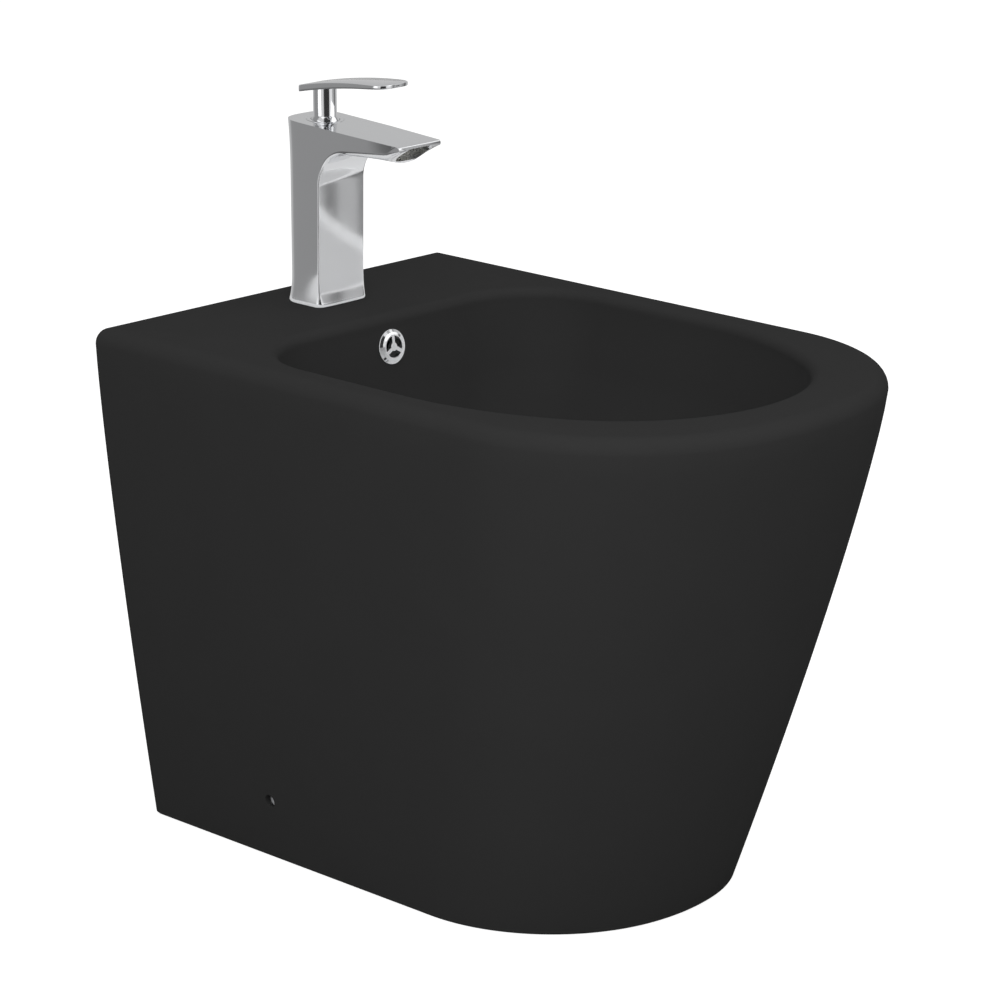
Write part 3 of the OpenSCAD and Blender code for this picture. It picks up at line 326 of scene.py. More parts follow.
FINISHES: dict[Slot, Finish] = {
    # Matt black glaze: an even near-black with a faint sheen. Its orange-peel relief is
    # 2 to 4 mm wide on the real one and is drawn 9 mm wide so that it shows.
    Slot.GLAZE: Finish(
        "matt_black_glaze",
        "2e2e2e",
        0.42,
        sheen_spread=0.03,
        patch_mm=60.0,
        grain_mm=9.0,
        grain_depth_mm=0.02,
        edge_mm=0.8,
        reflect=0.0,
        depth_colour="303030",
        coat=0.03,
        # Painted reflection: the chrome and the glaze's own coat see this black glaze as near
        # white
        mirrored="f2f2f2",
    ),
    # Polished chrome plate: a near mirror with long, slight waves, as cast and buffed brass
    # has, so that straight reflections wander a little
    Slot.CHROME: Finish(
        "polished_chrome_plate",
        "e2e3e5",
        0.1,
        metal=True,
        sheen_spread=0.02,
        patch_mm=14.0,
        grain_mm=16.0,
        grain_depth_mm=0.01,
        edge_mm=0.3,
    ),
    # Brushed stainless steel: streaks that spread its highlights. The real ones are about
    # 0.1 mm wide and are drawn 0.5 mm wide so that they show.
    Slot.STEEL: Finish(
        "brushed_stainless_steel",
        "b6b7b9",
        0.32,
        metal=True,
        sheen_spread=0.06,
        patch_mm=6.0,
        grain_mm=0.5,
        grain_depth_mm=0.01,
        brushed=True,
    ),
    # Turned brass: warm yellow with turning marks, 0.2 mm apart on the real one and drawn
    # 0.6 mm wide so that they show
    Slot.BRASS: Finish(
        "turned_brass",
        "c9a45c",
        0.28,
        metal=True,
        sheen_spread=0.05,
        patch_mm=8.0,
        grain_mm=0.6,
        grain_depth_mm=0.01,
    ),
    # Moulded black rubber: dull, with a grain that takes away its highlights
    Slot.RUBBER: Finish(
        "black_rubber",
        "161616",
        0.75,
        sheen_spread=0.08,
        patch_mm=5.0,
        grain_mm=0.5,
        grain_depth_mm=0.02,
    ),
    # Moulded nylon: off-white, with a soft, even sheen from a lightly textured mould
    Slot.NYLON: Finish(
        "moulded_nylon",
        "e4e3dc",
        0.5,
        sheen_spread=0.05,
        patch_mm=8.0,
        grain_mm=0.8,
        grain_depth_mm=0.01,
    ),
    # Moulded polypropylene of the trap: white and slightly glossy
    Slot.PLASTIC: Finish(
        "moulded_polypropylene",
        "ecebe6",
        0.34,
        sheen_spread=0.06,
        patch_mm=20.0,
        grain_mm=1.5,
        grain_depth_mm=0.015,
    ),
    # Ground alumina of the cartridge's discs: clean white with a fine face. The real grit
    # marks are far finer and are drawn 0.4 mm wide so that they show.
    Slot.DISC: Finish(
        "ground_alumina",
        "f0efea",
        0.25,
        sheen_spread=0.03,
        patch_mm=5.0,
        grain_mm=0.4,
        grain_depth_mm=0.004,
    ),
}


# Meshes


def mesh_object(
    name: str,
    points: Iterable[Point],
    faces: Iterable[Sequence[int]],
) -> bpy.types.Object:
    """Makes an object from points in millimetres.

    Args:
        name: The object's name.
        points: The points.
        faces: Point numbers of each face, anticlockwise from outside.

    Returns:
        The object, linked into the scene.
    """
    mesh = bpy.data.meshes.new(name)
    mesh.from_pydata([[c * MM for c in p] for p in points], [], [list(f) for f in faces])
    mesh.validate()
    obj = bpy.data.objects.new(name, mesh)
    bpy.context.scene.collection.objects.link(obj)
    return obj


def smooth(obj: bpy.types.Object, angle: float) -> bpy.types.Object:
    """Shades an object smooth, with creases where its faces turn by more than an angle.

    Args:
        obj: The object.
        angle: The angle in degrees.

    Returns:
        The object.
    """
    obj.data.shade_smooth()
    obj.data.set_sharp_from_angle(angle=math.radians(angle))
    return obj


def ring_faces(rings: int, size: int, closed: bool) -> list[tuple[int, ...]]:
    """Faces between rings that turn anticlockwise about the way the rings run.

    Args:
        rings: How many rings there are.
        size: Points in each ring.
        closed: Whether the last ring joins the first.

    Returns:
        The faces.
    """
    faces = []
    for i in range(rings if closed else rings - 1):
        k = (i + 1) % rings
        for j in range(size):
            n = (j + 1) % size
            faces.append((i * size + j, i * size + n, k * size + n, k * size + j))
    return faces


def flat_faces(outer: Ring, inner: Ring, start: int, inner_start: int) -> list[tuple[int, ...]]:
    """Triangles between two rings in one plane, which join the nearest points.

    Args:
        outer: The first ring.
        inner: The ring that the faces lead to.
        start: Number of the first ring's first point.
        inner_start: Number of the second ring's first point.

    Returns:
        The faces.
    """
    size, faces = len(outer), []
    i = j = 0
    while i < size or j < size:
        a, b = outer[i % size], inner[j % size]
        i_next, j_next = (i + 1) % size, (j + 1) % size
        if i < size and (j == size or math.dist(outer[i_next], b) <= math.dist(a, inner[j_next])):
            faces.append((start + i, start + i_next, inner_start + j % size))
            i += 1
        else:
            faces.append((start + i % size, inner_start + j_next, inner_start + j))
            j += 1
    return faces


def loop_object(name: str, rings: list[Ring]) -> bpy.types.Object:
    """Makes a closed body from rings that lead back to the first.

    Rings at one height are joined by triangles, because quads between rings of different
    spacing would fold over each other.

    Args:
        name: The object's name.
        rings: The rings.

    Returns:
        The object.
    """
    size, count = len(rings[0]), len(rings)
    level = [i for i in range(count - 1) if rings[i][0][2] == rings[i + 1][0][2]]
    bands = enumerate(ring_faces(count, size, True))
    faces = [face for k, face in bands if k // size not in level]
    for i in level:
        faces += flat_faces(rings[i], rings[i + 1], i * size, (i + 1) * size)
    return mesh_object(name, [p for ring in rings for p in ring], faces)


def stack_object(name: str, rings: list[Ring]) -> bpy.types.Object:
    """Makes a body from a stack of rings with a flat first and last ring.

    Args:
        name: The object's name.
        rings: The rings.

    Returns:
        The object.
    """
    size = len(rings[0])
    last = (len(rings) - 1) * size
    faces = ring_faces(len(rings), size, False)
    faces.append(tuple(range(size - 1, -1, -1)))
    faces.append(tuple(range(last, last + size)))
    return mesh_object(name, [p for ring in rings for p in ring], faces)


def circle(r: float, z: float, x: float, y: float) -> Ring:
    """A level ring of points.

    Args:
        r: Radius.
        z: Height.
        x: Centre across.
        y: Centre along the depth.

    Returns:
        The ring.
    """
    steps = [2 * math.pi * i / TURNED_SIDES for i in range(TURNED_SIDES)]
    return [(x + r * math.cos(a), y + r * math.sin(a), z) for a in steps]


def rod(name: str, start: Sequence[float], end: Sequence[float], r: float) -> bpy.types.Object:
    """A round rod between two points.

    Args:
        name: The object's name.
        start: Centre of the first end.
        end: Centre of the second end.
        r: Its radius.

    Returns:
        The object.
    """
    a, b = Vector(start), Vector(end)
    along = (b - a).normalized()
    side = along.orthogonal().normalized()
    other = along.cross(side)
    rings = []
    for centre in (a, b):
        ring = []
        for i in range(ROD_SIDES):
            t = 2 * math.pi * i / ROD_SIDES
            ring.append(tuple(centre + r * (math.cos(t) * side + math.sin(t) * other)))
        rings.append(ring)
    return stack_object(name, rings)


def lathe(
    name: str, profile: Sequence[tuple[float, float]], x: float, y: float
) -> bpy.types.Object:
    """A closed body turned about an upright axis.

    Args:
        name: The object's name.
        profile: Radius and height, from the bottom centre round the outside to the top.
        x: Axis across.
        y: Axis along the depth.

    Returns:
        The object.
    """
    return stack_object(name, [circle(r, z, x, y) for r, z in profile])


def combine(
    obj: bpy.types.Object, how: Cut, tools: Sequence[bpy.types.Object]
) -> bpy.types.Object:
    """Cuts tools out of an object, or joins them to it.

    Args:
        obj: The object.
        how: What the tools do to it.
        tools: The tools, which are used up.

    Returns:
        The object.
    """
    for tool in tools:
        step = obj.modifiers.new("step", "BOOLEAN")
        step.operation = how.value
        step.solver = "EXACT"
        step.object = tool
    graph = bpy.context.evaluated_depsgraph_get()
    mesh = bpy.data.meshes.new_from_object(obj.evaluated_get(graph))
    obj.modifiers.clear()
    old, obj.data = obj.data, mesh
    bpy.data.meshes.remove(old)
    for tool in tools:
        bpy.data.objects.remove(tool)
    return obj


def finish_piece(
    obj: bpy.types.Object,
    material: bpy.types.Material,
    rides: str,
    node: str,
    crease: float,
) -> bpy.types.Object:
    """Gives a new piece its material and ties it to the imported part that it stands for.

    Args:
        obj: The piece.
        material: Its material.
        rides: The body that it moves with.
        node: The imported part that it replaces.
        crease: Angle in degrees above which its edges stay crisp.

    Returns:
        The piece.
    """
    smooth(obj, crease)
    obj.data.materials.clear()
    obj.data.materials.append(material)
    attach(obj, rides)
    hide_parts(node)
    LOG.info("%s stands for %s on %s, %d faces", obj.name, node, rides, len(obj.data.polygons))
    return obj


# Ceramic body


@dataclass(frozen=True)
class Outline:
    """An outline seen from above, made of five arcs and a straight back.

    Attributes:
        half_w: Half its width.
        rear: Y of its back.
        front: Y of its front.
        rear_r: Radius of its rear corners.
        side_r: Radius of its sides.
        front_r: Radius of its front.
    """

    half_w: float
    rear: float
    front: float
    rear_r: float
    side_r: float
    front_r: float

    def grown(self, t: float) -> "Outline":
        """The outline moved outwards.

        Args:
            t: The distance.

        Returns:
            The new outline.
        """
        return Outline(
            self.half_w + t,
            self.rear + t,
            self.front - t,
            max(1.0, self.rear_r + t),
            self.side_r + t,
            self.front_r + t,
        )

    def towards(self, other: "Outline", t: float) -> "Outline":
        """An outline between this one and another.

        Args:
            other: The other outline.
            t: Share of the way to it.

        Returns:
            The new outline.
        """
        return Outline(
            *(lerp(getattr(self, n), getattr(other, n), t) for n in self.__dataclass_fields__)
        )

    def ring(self, z: float, front_n: int = 12, side_n: int = 48, rear_n: int = 8) -> Ring:
        """Points of the outline at a height.

        Args:
            z: The height.
            front_n: Steps of half the front.
            side_n: Steps of a side.
            rear_n: Steps of a rear corner.

        Returns:
            The ring, anticlockwise from above, from the middle of the front.
        """
        side_r = self.side_r
        if self.front_r > side_r:
            side_r = min(side_r, self.half_w * 0.98)
        dx = self.half_w - side_r
        dy = math.sqrt((self.front_r - side_r) ** 2 - dx**2)
        yc = self.front + self.front_r + (-dy if self.front_r > side_r else dy)
        turn = math.atan2(dy, abs(dx))
        half: list[tuple[float, float]] = []
        for i in range(front_n + 1):
            a = -math.pi / 2 + (math.pi / 2 - turn) * i / front_n
            half.append(
                (self.front_r * math.cos(a), self.front + self.front_r * (1 + math.sin(a)))
            )
        for i in range(1, side_n + 1):
            a = turn * (i / side_n - 1)
            half.append((dx + side_r * math.cos(a), yc + side_r * math.sin(a)))
        for i in range(rear_n + 1):
            a = math.pi / 2 * i / rear_n
            half.append(
                (
                    self.half_w + self.rear_r * (math.cos(a) - 1),
                    self.rear + self.rear_r * (math.sin(a) - 1),
                )
            )
        whole = half + [(-x, y) for x, y in reversed(half[1:])]
        return [(x, y, z) for x, y in whole]


@dataclass
class CeramicBody:
    """The casting with its bowl, deck and overflow duct.

    A pair of radii holds the one at the rim and the one at the foot. A pair of heights or
    places across holds where a bore or a duct starts and where it ends.
    """

    width: float = 370.0
    depth: float = 550.0
    height: float = 400.0
    foot_inset: float = 48.0
    foot_d: float = 438.0
    foot_edge: float = 1.5
    rear_r: float = 10.0
    side_rs: tuple[float, float] = (156.0, 130.0)
    front_rs: tuple[float, float] = (282.0, 165.0)
    side_power: float = 1.22
    front_power: float = 1.17
    rim_round: float = 12.0
    wall: float = 12.0
    deck: float = 16.0
    bowl_depth: float = 132.0
    bowl_wall: float = 10.0
    bowl_round: float = 8.0
    bowl_inset: float = 30.0
    bowl_rear: float = 132.0
    bowl_front: float = 47.0
    bowl_rear_r: float = 70.0
    bowl_side_r: float = 260.0
    bowl_front_r: float = 140.0
    waste_y: float = 30.0
    seat_r: float = 35.0
    seat_drop: float = 3.0
    waste_r: float = 23.0
    boss_r: float = 40.0
    boss_h: float = 40.0
    chamber_z: tuple[float, float] = (240.0, 256.0)
    chamber_r: float = 30.0
    overflow_lean: float = 7.62
    overflow_y: float = 141.25
    overflow_z: float = 375.0
    overflow_r: float = 11.0
    duct_back: float = 19.0
    duct_z: tuple[float, float] = (248.0, 392.0)
    duct_r: float = 14.0
    duct_bore_r: float = 9.0
    tap_y: float = 214.0
    tap_hole_r: float = 17.5
    side_hole_x: tuple[float, float] = (126.0, 150.0)
    side_hole_y: float = 130.0
    side_hole_z: float = 49.0
    side_hole_r: float = 5.0
    service_half_w: float = 95.0
    service_top: float = 300.0
    service_r: float = 40.0
    levels: int = 28
    inner_levels: int = 10
    round_steps: int = 8
    corner_steps: int = 12
    crease: float = 30.0
    shares: tuple[float, ...] = (
        0.0, 0.022, 0.245, 0.31, 0.37, 0.43, 0.49, 0.55,
        0.61, 0.67, 0.73, 0.79, 0.85, 0.9, 0.95, 1.0,
    )

    def wall_outline(self, t: float) -> Outline:
        """The outside at a share of the way from the rim to the foot.

        Args:
            t: The share.

        Returns:
            The outline.
        """
        rear = self.depth / 2
        return Outline(
            self.width / 2 - self.foot_inset * t**self.side_power,
            rear,
            rear - lerp(self.depth, self.foot_d, t**self.front_power),
            self.rear_r,
            lerp(*self.side_rs, t),
            lerp(*self.front_rs, t),
        )

    def share(self, z: float) -> float:
        """The share of the way down at a height.

        Args:
            z: The height.

        Returns:
            The share.
        """
        return 1 - z / (self.height - self.rim_round)

    def bowl(self, share: float) -> tuple[Outline, float, float]:
        """The bowl's outline at a share of a quarter turn.

        Args:
            share: The share.

        Returns:
            The outline, its height and the turn.
        """
        a = math.pi / 2 * share
        edge = Outline(
            self.width / 2 - self.bowl_inset,
            self.depth / 2 - self.bowl_rear,
            self.bowl_front - self.depth / 2,
            self.bowl_rear_r,
            self.bowl_side_r,
            self.bowl_front_r,
        )
        z = self.height - self.bowl_round - (self.bowl_depth - self.bowl_round) * math.sin(a)
        return edge.towards(self.round_outline(self.seat_r), 1 - math.cos(a)), z, a

    def round_outline(self, r: float) -> Outline:
        """A nearly round outline about the waste.

        Args:
            r: Its radius.

        Returns:
            The outline.
        """
        y = self.waste_y
        return Outline(r, y + r, y - r, r * 0.97, r * 1.04, r * 0.98)

    def rings(self) -> list[Ring]:
        """Rings from the foot up the outside, down the bowl and back along the inside.

        Returns:
            The rings.
        """
        low = self.height - self.rim_round
        foot, n = self.foot_edge, self.round_steps
        rings = [self.wall_outline(1).grown(-foot).ring(0)]
        rings.append(self.wall_outline(self.share(foot)).ring(foot))
        for i in range(1, self.levels):
            z = foot + (low - foot) * i / (self.levels - 1)
            rings.append(self.wall_outline(self.share(z)).ring(z))
        for i in range(1, n + 1):
            a = math.pi / 2 * i / n
            edge = self.wall_outline(0).grown(-self.rim_round * (1 - math.cos(a)))
            rings.append(edge.ring(low + self.rim_round * math.sin(a)))
        bowl_edge = self.bowl(0)[0]
        for i in range(n):
            a = math.pi / 2 * i / n
            z = self.height - self.bowl_round * (1 - math.cos(a))
            rings.append(bowl_edge.grown(self.bowl_round * (1 - math.sin(a))).ring(z))
        for s in self.shares:
            outline, z, _ = self.bowl(s)
            rings.append(outline.ring(z))
        bottom = self.height - self.bowl_depth
        seat = bottom - self.seat_drop
        rings.append(self.round_outline(self.seat_r).ring(seat))
        rings.append(self.round_outline(self.waste_r).ring(seat))
        rings.append(self.round_outline(self.waste_r).ring(bottom - self.boss_h))
        rings.append(self.round_outline(self.boss_r).ring(bottom - self.boss_h))
        rings.append(self.round_outline(self.boss_r + 1).ring(bottom - self.bowl_wall - 1))
        under = self.height - self.deck
        for s in reversed(self.shares[2:-1]):
            outline, z, a = self.bowl(s)
            t = self.bowl_wall
            rings.append(outline.grown(t * math.cos(a)).ring(z - t * math.sin(a)))
        turn = math.asin(
            (self.height - self.bowl_round - under) / (self.bowl_depth - self.bowl_round)
        )
        top = self.bowl(turn / (math.pi / 2))[0]
        rings.append(top.grown(self.bowl_wall).ring(under))
        for i in range(self.inner_levels):
            z = under * (1 - i / (self.inner_levels - 1))
            rings.append(self.wall_outline(self.share(z)).grown(-self.wall).ring(z))
        return rings

    def build(self, glaze: bpy.types.Material) -> bpy.types.Object:
        """Makes the casting.

        Args:
            glaze: Its material.

        Returns:
            The object.
        """
        body = loop_object("ceramic_casting", self.rings())
        lean = math.radians(self.overflow_lean)
        hole = (0.0, self.overflow_y, self.overflow_z)
        out = (0.0, -math.cos(lean), math.sin(lean))
        y, (low, top) = self.overflow_y + self.duct_back, self.duct_z
        near = (0.0, self.waste_y + self.waste_r, low)
        combine(
            body,
            Cut.JOIN,
            [
                rod("duct_down", (0, y, low - 10), (0, y, top), self.duct_r),
                rod("duct_along", near, (0, y + self.duct_r - 1, low), self.duct_r),
            ],
        )
        # Each cutter runs on a little past the wall that it opens
        r, z = self.duct_bore_r, self.height
        back = [h - self.duct_back * o for h, o in zip(hole, out)]
        front = [h + 10 * o for h, o in zip(hole, out)]
        chamber = [(0, self.waste_y, end) for end in self.chamber_z]
        tools = [
            rod("bore_down", (0, y, low - 5), (0, y, self.overflow_z), r),
            rod("bore_along", near, (0, y + r - 1, low), r),
            rod("bore_out", back, front, self.overflow_r),
            rod("chamber", *chamber, self.chamber_r),
            rod("tap_hole", (0, self.tap_y, z - 20), (0, self.tap_y, z + 2), self.tap_hole_r),
            self.service_tool(),
        ]
        for side in (-1, 1):
            ends = [(side * x, self.side_hole_y, self.side_hole_z) for x in self.side_hole_x]
            tools.append(rod("side_hole", *ends, self.side_hole_r))
        combine(body, Cut.TAKE, tools)
        return finish_piece(body, glaze, "bidet", "ceramic_body", self.crease)

    def service_tool(self) -> bpy.types.Object:
        """The cutter of the service opening in the back.

        Returns:
            The object.
        """
        half, r, n = self.service_half_w, self.service_r, self.corner_steps
        shape = [(-half, -5.0), (half, -5.0)]
        for centre, start in ((half - r, 0.0), (r - half, 90.0)):
            for i in range(n + 1):
                a = math.radians(start + 90 * i / n)
                shape.append((centre + r * math.cos(a), self.service_top - r + r * math.sin(a)))
        rear = self.depth / 2
        rings = [[(x, y, z) for x, z in shape] for y in (rear + 2, rear - self.wall - 2)]
        return stack_object("service_cut", rings)


# Tap


@dataclass
class TapBody:
    """The column and spout, one casting. Its own frame lies on the deck at the neck axis.

    A pair of heights holds where a bore starts and where it ends.
    """

    axis_y: float = 211.0
    deck_z: float = 400.0
    hole_y: float = 3.0
    column_r: float = 24.2
    front: float = 17.4
    waist: float = 1.5
    back: float = 19.8
    crown: float = 0.8
    edge_r: float = 0.8
    spout_edge_r: float = 4.0
    foot_flare: float = 1.8
    back_flare: float = 3.0
    front_flare: float = 3.2
    foot_edge_r: float = 5.0
    foot_round: float = 2.0
    flare_h: float = 25.0
    top_flare: float = 2.6
    top: float = 141.0
    fall: float = 5.3
    reach: float = 101.5
    tip_w: float = 44.0
    fillet: float = 28.5
    depth: float = 16.6
    tip_depth: float = 16.0
    side_depth: float = 10.3
    side_lean: float = 1.2
    lip: float = 4.4
    cut: float = 14.5
    outlet_w: float = 30.0
    outlet_h: float = 11.2
    outlet_z: float = 127.6
    outlet_l: float = 36.0
    foot_power: float = 2.5
    back_power: float = 3.0
    fall_share: float = 0.4
    lip_r: float = 2.0
    lip_step: float = 0.6
    bore_z: tuple[float, float] = (106.4, 150.0)
    bore_r: float = 12.6
    recess_z: tuple[float, float] = (131.9, 150.0)
    recess_r: float = 14.5
    channel_l: float = 70.0
    channel_r: float = 2.75
    stud_back: float = 11.0
    stud_h: float = 14.0
    stud_r: float = 4.05
    inlet_x: float = 7.5
    inlet_h: float = 12.0
    inlet_r: float = 4.6
    feed_x: float = 4.2
    feed_top: float = 107.0
    feed_r: float = 2.0
    across: int = 64
    flare_n: int = 16
    column_n: int = 6
    fillet_n: int = 24
    spout_n: int = 16
    outlet_n: int = 24
    crease: float = 32.0

    @property
    def z_fillet(self) -> float:
        """Height at which the column's front starts to curve out."""
        return self.top - self.depth - self.fillet - self.fall * self.fall_share

    @property
    def y_fillet(self) -> float:
        """Y at which the curve ends in the spout's underside."""
        return -self.front - self.fillet

    def top_z(self, y: float) -> float:
        """Height of the spout's top face.

        Args:
            y: Place along the depth.

        Returns:
            The height.
        """
        return self.top + self.fall * y / self.reach

    def back_y(self, x: float, back: float) -> float:
        """The back of a section.

        Args:
            x: Place across.
            back: Distance of the back behind the tap hole's centre.

        Returns:
            Its Y.
        """
        share = min(1.0, abs(x) / self.column_r)
        power = self.back_power
        return self.hole_y + back * (1 - share**power) ** (1 / power)

    def inset(self, x: float, edge_r: float) -> float:
        """How far the rounding of a section's side edges sets it back.

        Args:
            x: Place across.
            edge_r: Radius of the rounding.

        Returns:
            The distance.
        """
        over = min(abs(x) - self.column_r + edge_r, edge_r)
        return 0.0 if over <= 0 else edge_r - math.sqrt(max(0.0, edge_r**2 - over**2))

    def bulge(self, x: float) -> float:
        """How far the slight crown of the column's front sets it back.

        Args:
            x: Place across.

        Returns:
            The distance.
        """
        return self.crown * (x / self.column_r) ** 2

    def xs(self) -> list[float]:
        """Places across at which a section has points, from left to right."""
        n = self.across
        return [-self.column_r * math.cos(math.pi * i / n) for i in range(n + 1)]

    def column(self, z: float) -> Ring:
        """A level section of the column.

        Args:
            z: Its height.

        Returns:
            The ring.
        """
        s = max(0.0, 1 - z / self.flare_h) ** self.foot_power
        r = self.foot_round
        tuck = r - math.sqrt(r**2 - max(0.0, r - z) ** 2)
        g = 1 + (self.foot_flare * s - tuck) / self.column_r
        front = self.front - self.waist * (1 - z / self.z_fillet) + self.front_flare * s - tuck
        edge_r = lerp(self.edge_r, self.foot_edge_r, s)
        back = self.back + self.back_flare * s - tuck
        xs = self.xs()
        ahead = [(x * g, self.inset(x, edge_r) + self.bulge(x) - front, z) for x in xs]
        return ahead + [(x * g, self.back_y(x, back), z) for x in reversed(xs)]

    def bend(self, j: int) -> Ring:
        """A section of the curve from the column to the spout.

        Args:
            j: Its number.

        Returns:
            The ring.
        """
        share = j / self.fillet_n
        a = math.pi / 2 * share
        up, on = min(1.0, 2 * share), max(0.0, 2 * share - 1)
        edge_r = lerp(self.edge_r, self.spout_edge_r, share)
        xs = self.xs()
        ring = []
        for x in xs:
            r = self.fillet + self.inset(x, edge_r) + self.bulge(x) * (1 - share)
            y = self.y_fillet + r * math.cos(a)
            ring.append((x, y, self.z_fillet + r * math.sin(a)))
        for x in reversed(xs):
            y = lerp(self.back_y(x, self.back + self.top_flare * up**3), self.y_fillet, on)
            ring.append((x, y, lerp(self.z_fillet, self.top_z(y), up)))
        return ring

    def spout(self, s: float, y_low: float, y_top: float) -> Ring:
        """A section of the spout.

        Args:
            s: Share of the way to the tip.
            y_low: Y of its underside.
            y_top: Y of its top.

        Returns:
            The ring.
        """
        xs = self.xs()
        z_tip = self.top_z(-self.reach)
        z_start = self.z_fillet + self.fillet
        g = lerp(1.0, self.tip_w / 2 / self.column_r, s)
        ring = []
        for x in xs:
            out = x / self.column_r
            depth = lerp(self.tip_depth, self.side_depth, out**2)
            z = lerp(z_start, z_tip - depth, s) + self.inset(x, self.spout_edge_r)
            ring.append((x * g - self.side_lean * s * out**3, y_low, z))
        return ring + [(x * g, y_top, self.top_z(y_top)) for x in reversed(xs)]

    def rings(self) -> list[Ring]:
        """Sections from the foot up the column and out along the spout, to its blunt lip."""
        n = self.flare_n
        rings = [self.column(self.flare_h * (i / n) ** 1.5) for i in range(n + 1)]
        n = self.column_n
        rings += [self.column(lerp(self.flare_h, self.z_fillet, i / n)) for i in range(1, n + 1)]
        rings += [self.bend(j) for j in range(1, self.fillet_n + 1)]
        step = self.lip_step
        for i in range(1, self.spout_n + 1):
            s = i / self.spout_n
            y_low = lerp(self.y_fillet, self.cut - self.reach, s)
            rings.append(self.spout(s, y_low, lerp(self.y_fillet, 2 * step - self.reach, s)))
        g = self.tip_w / 2 / self.column_r
        z_low = self.top_z(-self.reach) - self.lip + step
        part = step * ROUNDED
        for y, z_top in ((-self.reach + part, part), (-self.reach, step)):
            sides = [(x, self.inset(x, self.lip_r) / 2) for x in self.xs()]
            ahead = [(x * g, y, z_low + inset) for x, inset in sides]
            back = [(x * g, y, self.top_z(y) - z_top - inset) for x, inset in reversed(sides)]
            rings.append(ahead + back)
        return [[(x, y + self.axis_y, z + self.deck_z) for x, y, z in r] for r in rings]

    def outlet_tool(self) -> bpy.types.Object:
        """The cutter of the oval outlet."""
        r = self.outlet_h / 2
        flat = self.outlet_w - self.outlet_h
        z = self.deck_z + self.outlet_z
        shape = []
        for centre, start in ((flat / 2, -90.0), (-flat / 2, 90.0)):
            for i in range(self.outlet_n + 1):
                a = math.radians(start + 180 * i / self.outlet_n)
                shape.append((centre + r * math.cos(a), z + r * math.sin(a)))
        tip = self.axis_y - self.reach
        rings = [[(x, y, z) for x, z in shape] for y in (tip + self.outlet_l, tip - 1)]
        return stack_object("outlet_cut", rings)

    def build(self, chrome: bpy.types.Material) -> bpy.types.Object:
        """Makes the casting.

        Args:
            chrome: Its material.

        Returns:
            The object.
        """
        body = stack_object("tap_casting", self.rings())
        y, z = self.axis_y, self.deck_z
        channel = z + self.outlet_z
        stud_y, inlet_y = y + self.hole_y + self.stud_back, y + 1
        tools = [
            rod("bore", *((0, y, z + end) for end in self.bore_z), self.bore_r),
            rod("recess", *((0, y, z + end) for end in self.recess_z), self.recess_r),
            rod("channel", (0, y, channel), (0, y - self.channel_l, channel), self.channel_r),
            rod("stud_hole", (0, stud_y, z - 1), (0, stud_y, z + self.stud_h), self.stud_r),
            self.outlet_tool(),
        ]
        for side in (-1, 1):
            x, top = side * self.inlet_x, z + self.inlet_h
            head = (side * self.feed_x, y - 1, z + self.feed_top)
            tools.append(rod("inlet", (x, inlet_y, z - 1), (x, inlet_y, top), self.inlet_r))
            tools.append(rod("feed", (x, inlet_y, top - 1), head, self.feed_r))
        combine(body, Cut.TAKE, tools)
        return finish_piece(body, chrome, "bidet", "tap_body", self.crease)


